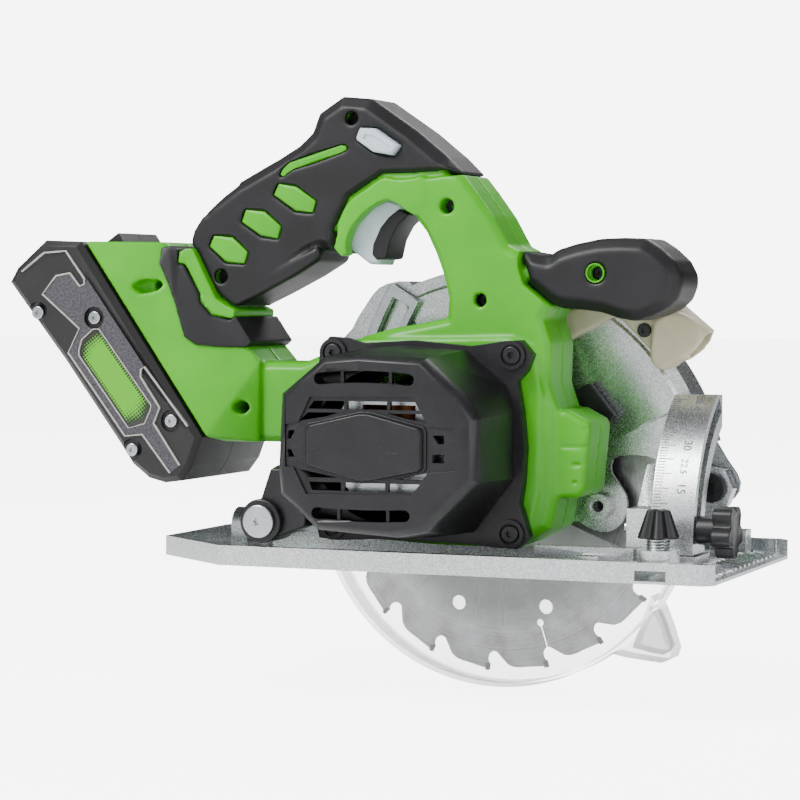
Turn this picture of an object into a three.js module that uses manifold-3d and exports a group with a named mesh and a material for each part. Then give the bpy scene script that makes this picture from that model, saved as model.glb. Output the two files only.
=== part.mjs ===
// A cordless circular saw: cast base, bevel quadrant, tilting and depth-adjusting saw unit, battery pack.
// Millimetres. +X is the cutting direction, +Y points from the motor to the blade, +Z is up. The sizes below are
// counted from the middle of the sole, which lies in the blade slot, so the finished group is moved sideways:
// its origin is on the sole's underside, in the middle of the strip under the motor.
import * as THREE from 'three';
import { mergeVertices } from 'three/addons/utils/BufferGeometryUtils.js';
import { ConvexGeometry } from 'three/addons/geometries/ConvexGeometry.js';
import Module from 'manifold-3d';

// ---- driving dimensions --------------------------------------------------------------------------------
const ORIGIN_SHIFT = 39;                // +Y, from the middle of the sole to the strip under the motor
const GAP = 0.3;                        // between touching pieces
const BASE = { floor: 3, rim: 8.7, wall: 5 };
const SLOT = { x0: -83, x1: 101, y0: -11, y1: 36 };   // blade slot in the sole
const BEVEL = { y: 46, z: 9, inner: 61, outer: 77.5, slot: 70.7, x0: 95, x1: 114, topZ: 75.3, endY: 14.7 };
const KNOB_ANGLE = 8.3;                 // bevel bolt above the horizontal at 0 degrees
const MAX_BEVEL = 50;
const PIVOT = { x: 112.5, z: 35.3 };    // depth pivot at the nose
const DEPTH = { slot: 167.6, inner: 160, outer: 176.4, y0: 10, y1: 14, max: 26.5 };
const BLADE = { x: 9.25, y: 25.3, z: 29.56, r: 82.5, teeth: 18, gullet: 7, plate: 1.4 };
const MOTOR = { x: -5, z: 54.8 };
const GEAR_TEETH = 48;
const PINION_TEETH = 10;
const HANDLE_Y = -15;                   // parting plane of the two housing halves
const HANDLE_HALF = 18.5;               // half width of the handle and column
const GUARD = { y0: 15.2, wall: 2.2, y1: 37, inner: 97.5, outer: 101.2 };
const LOWER = { y0: 18, y1: 34, r: 88.5, wall: 1.6, from: -22, to: -205 };
const COVER = { flange: -36, face: -90, halfX: 42.3, halfZ: 38.5 };
const RAIL = { x: -165, z: 141.5, angle: 55.2 };  // battery sliding plane, from its upper end
const BATTERY = { y0: -53, y1: 23 };

const COLOURS = {
  green: [0x76c043, 0.45, 0], rubber: [0x3a373c, 0.7, 0], black: [0x2e2d33, 0.5, 0], cast: [0xc8ccc8, 0.45, 1],
  steel: [0xb9bcc0, 0.3, 1], ivory: [0xcfc9ae, 0.5, 0], knob: [0x1a1a1a, 0.5, 0], clear: [0xd8dcdc, 0.15, 0],
  pale: [0xd5e0e6, 0.4, 0], battery: [0x4a464b, 0.55, 0], copper: [0xb5713a, 0.4, 1], cell: [0x3f78b5, 0.5, 0],
};

// ---- solids --------------------------------------------------------------------------------------------
const wasm = await Module();
wasm.setup();

// A closed geometry as a solid that can be joined and cut.
function solid(geometry) {
  geometry.deleteAttribute('normal');
  geometry.deleteAttribute('uv');
  const merged = mergeVertices(geometry, 1e-4);
  const index = merged.index.array;
  const triVerts = [];
  for (let i = 0; i < index.length; i += 3) {
    const [a, b, c] = [index[i], index[i + 1], index[i + 2]];
    if (a !== b && b !== c && c !== a) triVerts.push(a, b, c);
  }
  const vertProperties = new Float32Array(merged.attributes.position.array);
  return new wasm.Manifold(new wasm.Mesh({ numProp: 3, vertProperties, triVerts: new Uint32Array(triVerts) }));
}

const join = (...parts) => parts.reduce((whole, part) => whole.add(part));
const cut = (whole, ...parts) => parts.reduce((rest, part) => rest.subtract(part), whole);

// An extruded outline; `axis` is the direction of the extrusion. Outlines are in (x, z), (y, z) or (x, y).
function prism(axis, outline, from, to, bevel = 0, holes = []) {
  const shape = new THREE.Shape(outline.map(([a, b]) => new THREE.Vector2(a, b)));
  shape.holes = holes.map((hole) => new THREE.Path(hole.map(([a, b]) => new THREE.Vector2(a, b))));
  const geometry = new THREE.ExtrudeGeometry(shape, {
    depth: to - from - 2 * bevel, bevelEnabled: bevel > 0, bevelSize: bevel, bevelOffset: -bevel,
    bevelThickness: bevel, bevelSegments: 1,
  });
  if (axis === 'y') geometry.rotateX(Math.PI / 2).translate(0, to - bevel, 0);
  if (axis === 'x') {
    const turn = new THREE.Matrix4().set(0, 0, 1, 0, 1, 0, 0, 0, 0, 1, 0, 0, 0, 0, 0, 1);
    geometry.applyMatrix4(turn).translate(from + bevel, 0, 0);
  }
  if (axis === 'z') geometry.translate(0, 0, from + bevel);
  return solid(geometry);
}

// A rod or disc along an axis, centred on the two other coordinates in their usual order.
function rod(axis, a, b, radius, from, to, sides = 16) {
  const geometry = new THREE.CylinderGeometry(radius, radius, to - from, sides);
  const middle = (from + to) / 2;
  if (axis === 'x') geometry.rotateZ(Math.PI / 2).translate(middle, a, b);
  if (axis === 'y') geometry.translate(a, middle, b);
  if (axis === 'z') geometry.rotateX(Math.PI / 2).translate(a, b, middle);
  return solid(geometry);
}

function tube(axis, a, b, outer, inner, from, to, sides = 20) {
  return cut(rod(axis, a, b, outer, from, to, sides), rod(axis, a, b, inner, from - 1, to + 1, sides));
}

function block(x0, x1, y0, y1, z0, z1) {
  const box = new THREE.BoxGeometry(x1 - x0, y1 - y0, z1 - z0);
  return solid(box.translate((x0 + x1) / 2, (y0 + y1) / 2, (z0 + z1) / 2));
}

// Points of an arc about (cx, cy), angles in degrees.
function arc(cx, cy, radius, from, to, steps) {
  return Array.from({ length: steps + 1 }, (_, i) => {
    const angle = THREE.MathUtils.degToRad(from + ((to - from) * i) / steps);
    return [cx + radius * Math.cos(angle), cy + radius * Math.sin(angle)];
  });
}

const polar = (cx, cy, radius, degrees) => arc(cx, cy, radius, degrees, degrees, 1)[0];

const sector = (cx, cy, inner, outer, from, to, steps) =>
  [...arc(cx, cy, outer, from, to, steps), ...arc(cx, cy, inner, to, from, steps)];

// A closed outline moved inwards by a distance, each edge keeping its direction.
function inset(outline, distance) {
  const turn = THREE.ShapeUtils.area(outline.map(([x, y]) => new THREE.Vector2(x, y))) > 0 ? 1 : -1;
  return outline.map((point, i) => {
    const before = outline[(i + outline.length - 1) % outline.length];
    const after = outline[(i + 1) % outline.length];
    const [ax, ay] = unit(point[0] - before[0], point[1] - before[1]);
    const [bx, by] = unit(after[0] - point[0], after[1] - point[1]);
    const scale = (turn * distance) / (1 + ax * bx + ay * by);
    return [point[0] - (ay + by) * scale, point[1] + (ax + bx) * scale];
  });
}

function unit(x, y) {
  const length = Math.hypot(x, y);
  return [x / length, y / length];
}

// ---- assembly ------------------------------------------------------------------------------------------
const saw = new THREE.Group();

function add(name, shape, [color, roughness, metalness]) {
  const { numProp, vertProperties, triVerts } = shape.getMesh();
  const geometry = new THREE.BufferGeometry();
  const count = vertProperties.length / numProp;
  const position = new Float32Array(count * 3);
  for (let i = 0; i < count; i += 1) {
    position.set(vertProperties.subarray(i * numProp, i * numProp + 3), i * 3);
  }
  geometry.setAttribute('position', new THREE.BufferAttribute(position, 3));
  geometry.setIndex(new THREE.BufferAttribute(triVerts, 1));
  geometry.computeVertexNormals();
  const mesh = new THREE.Mesh(geometry, new THREE.MeshStandardMaterial({ color, roughness, metalness }));
  mesh.name = name;
  saw.add(mesh);
}

// ---- base ----------------------------------------------------------------------------------------------
const soleOutline = [
  [132, -62.5], [128, -66.5], [-89.6, -66.5], [-132, -33], [-132, 34], [-118, 40], [-118, 54], [-106, 66.5],
  [128, 66.5], [132, 62.5],
];
const FENCE = { x: 105.7, y: -51, halfWidth: 6.7, z0: 1.1, z1: 5.4 };
const HINGE_LUGS = [[94.3, 99.2], [113.3, 118], [-101, -96.3], [-83.7, -79]];

function basePlate() {
  const tray = prism('z', soleOutline, 0, BASE.rim);
  const hollow = prism('z', inset(soleOutline, BASE.wall), BASE.floor, BASE.rim + 1);
  const slot = block(SLOT.x0, SLOT.x1, SLOT.y0, SLOT.y1, -1, 20);
  const slotRim = block(SLOT.x0 - 4, SLOT.x1 - 12, SLOT.y0 - 4, SLOT.y1 + 4, 1, BASE.rim);
  const pad = block(93, 116, -36, -12, 1, BASE.rim);
  const rib = block(46, 90, -38, -34.5, 1, 11.5);
  const ribBlock = block(68, 78, -50, -34, 1, BASE.rim);
  const clampBoss = rod('z', FENCE.x - 1, FENCE.y, 9, 1, 13);
  const lugs = HINGE_LUGS.map(([x0, x1]) => block(x0, x1, 41, 51, 1, 14));
  const pinBore = rod('x', BEVEL.y, BEVEL.z, 2.5 + GAP, -110, 130, 16);
  const clampBore = rod('z', FENCE.x - 1, FENCE.y, 3 + GAP, 4, 20, 16);
  const fenceSlot = block(
    FENCE.x - FENCE.halfWidth, FENCE.x + FENCE.halfWidth, -70, -38.5, FENCE.z0, FENCE.z1,
  );
  const rearLug = join(
    block(-112, -104, -6, 10, 1, 12),
    rod('x', 2, 12, 8, -112, -104),
  );
  const solids = join(cut(tray, hollow), slotRim, pad, rib, ribBlock, clampBoss, ...lugs, rearLug);
  const frontSlope = prism('y', [[126.9, 3], [133, 1.3], [133, 20], [126.9, 20]], -61.5, 61.5);
  return cut(solids, slot, pinBore, clampBore, fenceSlot, frontSlope);
}

// The arc about the bevel axis, cut flat on top, with the slot that the clamp bolt slides in.
function bevelQuadrant() {
  const { y, z, inner, outer, slot, x0, x1, topZ, endY } = BEVEL;
  const mirror = (points) => points.map(([a, b]) => [2 * y - a, b]);
  const band = prism('x', mirror(sector(y, z, inner, outer, 0, 66, 16)), x0, x1);
  const foot = block(x0, x1, y - outer, y - inner, BASE.rim + GAP, z + 0.5);
  const track = sector(y, z, slot - 3.4, slot + 3.4, KNOB_ANGLE - 2.8, KNOB_ANGLE + MAX_BEVEL + 2.8, 13);
  const keep = block(x0, x1, -40, endY, 0, topZ);
  return cut(join(band, foot).intersect(keep), prism('x', mirror(track), x0 - 1, x1 + 1));
}

add('base_plate', basePlate(), COLOURS.cast);
add('bevel_quadrant', bevelQuadrant(), COLOURS.cast);
add('front_hinge_pin', rod('x', BEVEL.y, BEVEL.z, 2.5, 94, 118.3, 16), COLOURS.steel);
add('rear_hinge_pin', rod('x', BEVEL.y, BEVEL.z, 2.5, -101.3, -78.7, 16), COLOURS.steel);

// A lobed plastic knob on a threaded stud, as an outline turned about its own axis.
function lobes(cx, cy, radius, depth, count, steps = 4) {
  return Array.from({ length: count * steps }, (_, i) => {
    const angle = (i / (count * steps)) * 2 * Math.PI;
    const reach = radius - depth * 0.5 * (1 - Math.cos(angle * count));
    return [cx + reach * Math.cos(angle), cy + reach * Math.sin(angle)];
  });
}

const fenceKnob = join(
  prism('z', lobes(FENCE.x - 1, FENCE.y, 9.5, 3, 5), 17.5, 30, 1),
  rod('z', FENCE.x - 1, FENCE.y, 3, 5.8, 18, 16),
  rod('z', FENCE.x - 1, FENCE.y, 6.5, 13 + GAP, 18, 16),
);
add('fence_clamp_knob', fenceKnob, COLOURS.knob);

// ---- tilting brackets ----------------------------------------------------------------------------------
const kneeAngle = THREE.MathUtils.degToRad(KNOB_ANGLE);
const KNOB = { y: BEVEL.y - BEVEL.slot * Math.cos(kneeAngle), z: BEVEL.z + BEVEL.slot * Math.sin(kneeAngle) };

function frontTiltBracket() {
  const back = prism('x', [[-32, 11.5], [12, 11.5], [12, 45], [-2, 45], [-16, 28], [-32, 28]], 85, 94.6);
  const cheek = prism('y', [
    [85, 22], [99.6, 10.5], [113, 10.5], [114, 24], [119, 28], [121.5, 35], [118, 43], [106, 45], [85, 45],
  ], 5, 12);
  const arm = block(99.6, 113, 5, BEVEL.y, 10.5, 13.7);
  const barrel = rod('x', BEVEL.y, BEVEL.z, 4.7, 99.6, 113);
  const pinBore = rod('x', BEVEL.y, BEVEL.z, 2.5 + GAP, 90, 130, 16);
  const pivotBore = rod('y', PIVOT.x, PIVOT.z, 3.5 + GAP, 0, 20, 16);
  const boltBore = rod('x', KNOB.y, KNOB.z, 3 + GAP, 80, 100, 16);
  return cut(join(back, cheek, arm, barrel), pinBore, pivotBore, boltBore);
}

function rearTiltBracket() {
  const alongBlade = block(-96, -50, DEPTH.y0, DEPTH.y1, 9.5, 13.5);
  const acrossBlade = block(-96, -84, DEPTH.y0, BEVEL.y, 10.3, 13.7);
  const barrel = rod('x', BEVEL.y, BEVEL.z, 4.7, -96, -84);
  return cut(join(alongBlade, acrossBlade, barrel), rod('x', BEVEL.y, BEVEL.z, 2.5 + GAP, -110, -70, 16));
}

// Slotted arc about the depth pivot that the saw unit is clamped to.
function depthBracket() {
  const top = 180 - DEPTH.max;
  const plate = prism('y', [
    ...arc(PIVOT.x, PIVOT.z, DEPTH.outer, 187.2, top - 3.4, 10),
    ...arc(PIVOT.x, PIVOT.z, DEPTH.inner, top - 3.4, 187.8, 10),
  ], DEPTH.y0, DEPTH.y1);
  const slot = prism('y', sector(PIVOT.x, PIVOT.z, DEPTH.slot - 4.4, DEPTH.slot + 4.4, 181.8, top - 1.8, 9), 5, 20);
  return cut(plate, slot, block(-100, -40, 0, 30, 0, 13.5 + GAP));
}

add('front_tilt_bracket', frontTiltBracket(), COLOURS.cast);
add('rear_tilt_bracket', rearTiltBracket(), COLOURS.steel);
add('depth_bracket', depthBracket(), COLOURS.steel);
add('depth_pivot_screw', join(
  rod('y', PIVOT.x, PIVOT.z, 6.5, 2, 4.7), rod('y', PIVOT.x, PIVOT.z, 3.5, 4, 21, 16),
), COLOURS.steel);

const bevelKnob = join(
  prism('x', lobes(KNOB.y, KNOB.z, 11.8, 4, 5), 122.4, 131, 1),
  rod('x', KNOB.y, KNOB.z, 6.3, BEVEL.x1 + GAP, 123, 20),
  rod('x', KNOB.y, KNOB.z, 3, 82, BEVEL.x1 + 1, 16),
);
add('bevel_knob', bevelKnob, COLOURS.knob);

// ---- housing -------------------------------------------------------------------------------------------
const HALF = { near: HANDLE_Y - HANDLE_HALF, far: HANDLE_Y + HANDLE_HALF };

const bodyOutline = [
  [-26, 10.5], [0, 9.6], [36, 9.6], [51, 18], [53.5, 31], [53.5, 70], [50, 80], [50.5, 98], [47, 108], [50, 114],
  [46, 134.5], [36.5, 137], [31, 139.5], [24, 152], [15.6, 163.4], [9, 171.5], [-10, 175], [-40, 172], [-47, 150],
  [-43, 143], [-30, 152], [-16, 156], [-12.5, 152.2], [-7, 145.5], [-2.4, 136], [1.1, 126.7],
  [3.5, 116.6], [3.1, 108.1], [-9.8, 105.6], [-22.3, 103.6], [-35.8, 99.9], [-50, 94], [-65, 88], [-90, 88],
  [-112, 84], [-103, 55], [-101.5, 52.3], [-62, 52.3], [-44, 40], [-38, 22],
];

// Black grip from the collar to the hump over the trigger.
const gripOutline = [
  [-115.5, 155], [-111.2, 159], [-98.2, 167.8], [-86.4, 174], [-78, 178.3], [-68.3, 183.9], [-62, 189.6],
  [-58.8, 198], [-47.4, 205.3], [-33.3, 204], [-12.2, 189.8], [2.2, 178.2], [10, 170.5], [-6, 169], [-26.6, 168.6],
  [-41.7, 159.1], [-48.3, 145.6], [-49.5, 136], [-56, 138], [-61, 136.2], [-70.3, 129.6], [-83.1, 121.8], [-97, 115.8],
];

// Hollow core that the grip is moulded over; it reaches into the column and into the boot.
const coreOutline = [
  [-121, 134], [-117, 146], [-109.5, 155.5], [-97, 164.3], [-80, 173], [-66.5, 180.5], [-58, 189], [-55, 197],
  [-46.5, 201.5], [-34.5, 200.3], [-14, 187], [0, 175.5], [8, 164], [-15, 160], [-30, 156], [-46, 150], [-54, 142],
  [-62.5, 140], [-72, 133.5], [-84.7, 125.3], [-98.5, 119], [-100, 108],
];

const hollowOutline = [
  [-112, 134], [-106, 148], [-95, 158], [-79, 167], [-64, 175], [-55, 184], [-50, 195], [-36, 195], [-18, 184],
  [-6, 174], [-6, 168], [-20, 164], [-32, 161], [-47, 154], [-55, 147], [-64, 145], [-75, 138], [-88, 130],
  [-102, 122],
];

const bootOutline = [
  [-133.5, 135.3], [-127.8, 139.9], [-118.7, 138.5], [-95.9, 110.7], [-87.9, 98.1], [-92.9, 92.5], [-117.1, 95.9],
  [-132.4, 119.7],
];

const knobHandleOutline = [
  [36.2, 137.2], [48.5, 135.2], [52.1, 137.8], [60.7, 140.4], [71.5, 142.5], [81.8, 142.9], [92.1, 142.5],
  [98.3, 138.6], [104.5, 133.1], [107.7, 127.1], [107.7, 122.5], [105.5, 116.5], [101.2, 112.6], [94.6, 109.6],
  [87, 107.4], [79.4, 108.6], [71.8, 111.1], [64, 112], [54, 112.6], [49.6, 114.4], [45.4, 117.7], [38.5, 123.1],
  [36.2, 130.4],
];
const knobHandleCore = [
  [30, 131], [50, 131.5], [62, 136], [80, 138.2], [91, 137], [101, 129], [101.5, 122], [98, 116.5], [87, 112],
  [76, 113.8], [62, 118], [52, 118.5], [44, 124], [30, 126],
];

const triggerOutline = [
  [-36.5, 131.5], [-32, 131.2], [-30.3, 136.4], [-27.4, 144], [-20.5, 151.5], [-21, 158], [-28, 160.5], [-38, 158.5],
  [-44, 153], [-48.5, 145.5], [-50.2, 141.5],
];
const TRIGGER = { x: -24.5, z: 155.5, travel: 12, y0: -25, y1: -5 };
const lockOutline = [[-38.5, 186], [-36.5, 191], [-29.5, 190.6], [-18.2, 183], [-21.5, 178.8], [-30.4, 180.4]];

const turned = (outline, cx, cz, degrees) => {
  const angle = THREE.MathUtils.degToRad(degrees);
  return outline.map(([x, z]) => [
    cx + (x - cx) * Math.cos(angle) + (z - cz) * Math.sin(angle),
    cz - (x - cx) * Math.sin(angle) + (z - cz) * Math.cos(angle),
  ]);
};

// Wedge between the battery's sliding plane and the handle, wider at the battery.
function foot(margin) {
  const wide = [[-164.6, 141.5], [-104.3, 55]];
  const narrow = [[-131, 141.3], [-126, 131], [-101, 97], [-84, 88], [-84, 52.3], [-101.9, 52.3]];
  const points = [
    ...wide.flatMap(([x, z]) => [[x, -50 - margin, z], [x, 20 + margin, z]]),
    ...narrow.flatMap(([x, z]) => [[x + margin, -36 - margin, z], [x + margin, 6 + margin, z]]),
  ];
  return solid(new ConvexGeometry(points.map((point) => new THREE.Vector3(...point))));
}

// Anything modelled on the battery's sliding plane: x runs down the slide, z away from the battery.
function onRail(shape) {
  return shape.rotate([0, RAIL.angle, 0]).translate([RAIL.x, 0, RAIL.z]);
}

const core = prism('y', coreOutline, HALF.near + 3.3, HALF.far - 3.3, 2);
const coreRoom = prism('y', inset(coreOutline, -GAP), HALF.near + 3, HALF.far - 3);
const gripRoom = prism('y', inset(gripOutline, -GAP), HALF.near - 5, HALF.far + 5);
const knobRoom = prism('y', inset(knobHandleOutline, -GAP), HALF.near - 5, HALF.far + 5);
const knobCore = prism('y', knobHandleCore, HALF.near + 4.5, HALF.far - 4.5, 2);
const knobCoreRoom = prism('y', inset(knobHandleCore, -GAP), HALF.near + 4.2, HALF.far - 4.2);
const lockRoom = prism('y', inset(lockOutline, -0.4), -60, 30);
const triggerRoom = join(...[0, 3, 6, 9, 12].map((degrees) => prism(
  'y', inset(turned(triggerOutline, TRIGGER.x, TRIGGER.z, degrees), -0.6), TRIGGER.y0 - 0.6, TRIGGER.y1 + 0.6,
)));

// The drum around the motor, and the finned bump in front of it.
function drum(y0, y1) {
  const outline = [
    [-42, 22], [-30, 11], [0, 9.6], [32, 9.6], [43, 15], [47, 34], [48, 76], [44, 96], [34, 100], [-40, 98.5], [-50, 92],
    [-52, 56], [-46, 36],
  ];
  return prism('y', outline, y0, y1, 1);
}

function railRoom() {
  const channel = onRail(block(-20, 98, -35.5, 5.5, -6, 11));
  const terminals = onRail(block(80, 99, -30.5, 0.5, -6, 14));
  return join(channel, terminals);
}

function wholeHousing() {
  const frame = prism('y', bodyOutline, HALF.near, HALF.far, 3);
  const bump = prism('y', [
    [45, 30.5], [62.5, 31.5], [65.5, 34.5], [67.9, 61.8], [67.1, 64.7], [57.7, 69.5], [45, 69.5],
  ], -31, 1.5, 2);
  const gearBulge = rod('y', BLADE.x, BLADE.z, 27.8, -4, 8.5, 36);
  const skin = cut(join(frame, drum(-35.6, 8.5), gearBulge, bump, foot(0)), gripRoom, knobRoom, boot('room'));
  const body = join(skin, core, knobCore, bootCore());
  const motorBore = rod('y', MOTOR.x, MOTOR.z, 28.5, -40, -10, 28);
  const fanRoom = rod('y', MOTOR.x, MOTOR.z, 26.5, -20, -4.5, 28);
  const bearingSeat = rod('y', MOTOR.x, MOTOR.z, 8 + GAP, -11, 20, 16);
  const pinionRoom = rod('y', MOTOR.x, MOTOR.z, 10, -0.8, 20, 16);
  const gearRoom = rod('y', BLADE.x, BLADE.z, 25.8, -0.8, 20, 36);
  const rearSeat = rod('y', BLADE.x, BLADE.z, 9.5 + GAP, -7.5, 5, 20);
  const gripHollow = prism('y', hollowOutline, HALF.near + 7, HALF.far - 7);
  const columnHollow = prism('y', [[8, 150], [22, 128], [40, 100], [40, 96], [10, 98], [12, 118]], -28, -2);
  const knobHollow = prism('y', inset(knobHandleCore, 2.5), HALF.near + 8, HALF.far - 8);
  const bridgeHollow = block(-78, -45, -28, -2, 57, 82);
  const rooms = join(motorBore, fanRoom, bearingSeat, pinionRoom, gearRoom, rearSeat);
  const hollows = join(gripHollow, columnHollow, knobHollow, bridgeHollow, triggerRoom, lockRoom, railRoom());
  const screwPosts = coverScrews.map(([x, z]) => rod('y', x, z, 2.5, -40, -24, 12));
  return cut(body, rooms, hollows, ...screwPosts);
}

// The rubber boot where the handle grows out of the foot.
function boot(kind) {
  const grow = kind === 'room' ? GAP : 0;
  const bevel = kind === 'room' ? 0 : 3;
  const sleeve = prism('y', inset(bootOutline, -grow), -37.6 - grow, 7.6 + grow, bevel);
  return kind === 'room' ? cut(sleeve, foot(0), core) : cut(sleeve, foot(GAP), coreRoom);
}

function bootCore() {
  return core.intersect(block(-140, -80, -40, 10, 80, 150));
}

const coverScrews = [[-46, 92.8], [36.6, 92.6], [36.4, 16.2], [-46, 17]];
const housing = wholeHousing();
const nearSide = block(-300, 200, -100, HANDLE_Y - GAP / 2, -50, 300);
const farSide = block(-300, 200, HANDLE_Y + GAP / 2, 100, -50, 300);
add('housing_right', housing.intersect(nearSide), COLOURS.green);
add('housing_left', housing.intersect(farSide), COLOURS.green);
add('grip_overmould', cut(
  prism('y', gripOutline, HALF.near, HALF.far, 5), coreRoom, lockRoom, triggerRoom,
), COLOURS.rubber);
add('boot_overmould', boot('piece'), COLOURS.rubber);
add('front_handle_overmould', cut(prism('y', knobHandleOutline, HALF.near + 0.5, HALF.far - 0.5, 5), knobCoreRoom),
  COLOURS.rubber);
add('trigger', prism('y', triggerOutline, TRIGGER.y0, TRIGGER.y1, 1.5), COLOURS.pale);
add('lock_off_button', prism('y', lockOutline, -36.8, 3.2, 1), COLOURS.pale);
add('trigger_switch', block(-66, -50, -24, -6, 153, 172), COLOURS.black);

// ---- motor end cover -----------------------------------------------------------------------------------
// Points of an octagon about the motor axis.
function octagon(halfX, halfZ, cornerX, cornerZ) {
  const quarter = [[halfX, cornerZ], [cornerX, halfZ]];
  return [
    ...quarter, ...quarter.map(([x, z]) => [-x, z]).reverse(), ...quarter.map(([x, z]) => [-x, -z]),
    ...quarter.map(([x, z]) => [x, -z]).reverse(),
  ].map(([x, z]) => [MOTOR.x + x, MOTOR.z + z]);
}

const badgeOutline = [[-41, 47.5], [-41, 62], [-36, 65], [-12.6, 69.5], [11, 65], [16, 62], [16, 47.5], [11, 44.5],
  [-12.6, 40.2], [-36, 44.5]];

function endCover() {
  const { flange, face, halfX, halfZ } = COVER;
  const cup = prism('y', octagon(halfX, halfZ, halfX - 18, halfZ - 18), face, flange, 2);
  const ears = coverScrews.map(([x, z]) => rod('y', x, z, 7.5, -41.5, flange, 10));
  const plate = prism('y', octagon(43, 43.6, 37, 37), -41.5, flange);
  const arm = prism('y', [[-40, 52], [-48, 46], [-63, 43], [-71, 30], [-76, 24], [-70, 14], [-50, 14]], -66, -52);
  const post = rod('y', -69.5, 20, 9.6, -68, -47, 20);
  const bore = rod('y', MOTOR.x, MOTOR.z, 29, -84, 0, 28);
  const bearingBore = rod('y', MOTOR.x, MOTOR.z, 8 + GAP, -88, -80, 24);
  const bladeVents = [[81, 85.5, 20], [71, 76.5, 22], [34, 39.5, 22], [23.5, 28, 20]].map(
    ([z0, z1, half]) => block(MOTOR.x - half - 4, MOTOR.x + half, -100, -80, z0, z1),
  );
  const sideVents = [[-48.4, -44], [19.5, 24]].flatMap(
    ([x0, x1]) => [[48.5, 52.5], [57, 61]].map(([z0, z1]) => block(x0, x1, -100, -70, z0, z1)),
  );
  const screwHoles = coverScrews.map(([x, z]) => rod('y', x, z, 2.5, -50, -30, 12));
  const badgeSeat = prism('y', inset(badgeOutline, -GAP), -100, -88.5);
  const boltHole = rod('y', -69.5, 20, 3 + GAP, -80, -50, 16);
  const solids = join(cup, ...ears, plate, arm, post);
  return cut(solids, bore, bearingBore, ...bladeVents, ...sideVents, ...screwHoles, badgeSeat, boltHole);
}

add('motor_end_cover', endCover(), COLOURS.black);
add('cover_badge', prism('y', badgeOutline, -91.5, -88.5 - GAP, 1), COLOURS.black);
coverScrews.forEach(([x, z], i) => {
  add(`cover_screw_${i + 1}`, join(rod('y', x, z, 4, -43.5, -41.8, 16), rod('y', x, z, 2, -42, -25, 10)), COLOURS.knob);
});
add('arm_boss_screw', join(rod('y', -69.5, 20, 7, -70.3, -68.3, 20), rod('y', -69.5, 20, 3, -69, -52, 12)),
  COLOURS.steel);

// ---- motor and gears -----------------------------------------------------------------------------------
// A spur gear with straight-sided teeth and generous backlash, its first tooth at the given angle.
function spur(cx, cz, teeth, y0, y1, bore, firstAngle) {
  const pitch = teeth / 2;
  const flank = [[-0.78, -1.15], [-0.26, 0.75], [0.26, 0.75], [0.78, -1.15]];
  const outline = Array.from({ length: teeth }, (_, i) => flank.map(([along, out]) => {
    const angle = THREE.MathUtils.degToRad(firstAngle + (i * 360) / teeth) + along / pitch;
    return [cx + (pitch + out) * Math.cos(angle), cz + (pitch + out) * Math.sin(angle)];
  })).flat();
  return cut(prism('y', outline, y0, y1), rod('y', cx, cz, bore, y0 - 1, y1 + 1, 16));
}

const lineOfCentres = THREE.MathUtils.radToDeg(Math.atan2(MOTOR.z - BLADE.z, MOTOR.x - BLADE.x));
add('motor_can', cut(
  rod('y', MOTOR.x, MOTOR.z, 26.5, -78.5, -21, 28), rod('y', MOTOR.x, MOTOR.z, 24, -76, -10, 28),
  rod('y', MOTOR.x, MOTOR.z, 5, -90, -70), block(-17, 7, -79.5, -70, 62, 72),
), COLOURS.steel);
add('rotor_rear_bearing', tube('y', MOTOR.x, MOTOR.z, 8, 2.5 + GAP, -84.5, -80.2), COLOURS.steel);
add('rotor_front_bearing', tube('y', MOTOR.x, MOTOR.z, 8, 2.5 + GAP, -9.5, -4.6), COLOURS.steel);
add('armature', cut(prism('y', lobes(MOTOR.x, MOTOR.z, 22, 2, 5, 5), -62, -26),
  rod('y', MOTOR.x, MOTOR.z, 3 + GAP, -70, -20, 16)), COLOURS.copper);
add('commutator', tube('y', MOTOR.x, MOTOR.z, 9, 2.5 + GAP, -73, -63), COLOURS.copper);
add('rotor_shaft', join(
  rod('y', MOTOR.x, MOTOR.z, 2.5, -85.5, 8, 16), rod('y', MOTOR.x, MOTOR.z, 3, -61, -27, 16),
), COLOURS.steel);
add('cooling_fan', join(
  ...Array.from({ length: 7 }, (_, i) => block(8, 24, -20, -13, MOTOR.z - 0.8, MOTOR.z + 0.8)
    .translate([0, 0, -MOTOR.z]).rotate([0, (i * 360) / 7, 0]).translate([MOTOR.x, 0, MOTOR.z])),
  tube('y', MOTOR.x, MOTOR.z, 25, 2.5 + GAP, -13.5, -12, 24),
), COLOURS.black);
add('pinion', spur(MOTOR.x, MOTOR.z, PINION_TEETH, 0, 7.5, 2.5 + GAP, lineOfCentres + 180 + 180 / PINION_TEETH),
  COLOURS.steel);
add('spindle_gear', spur(BLADE.x, BLADE.z, GEAR_TEETH, 0, 7.5, 5 + GAP, lineOfCentres), COLOURS.steel);
add('spindle', join(
  rod('y', BLADE.x, BLADE.z, 4, -7, 0), rod('y', BLADE.x, BLADE.z, 5, -0.6, 28.6),
), COLOURS.steel);
add('spindle_rear_bearing', tube('y', BLADE.x, BLADE.z, 9.5, 4 + GAP, -6.5, -1), COLOURS.steel);
add('spindle_front_bearing', tube('y', BLADE.x, BLADE.z, 13, 5 + GAP, 9, 15.8), COLOURS.steel);

function gearCase() {
  const plate = join(rod('y', BLADE.x, BLADE.z, 27.8, 8.8, 14.9, 32), rod('y', MOTOR.x, MOTOR.z, 18, 8.8, 14.9, 24));
  return cut(plate, rod('y', BLADE.x, BLADE.z, 13 + GAP, 0, 20, 20));
}
add('gear_case', gearCase(), COLOURS.cast);

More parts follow.
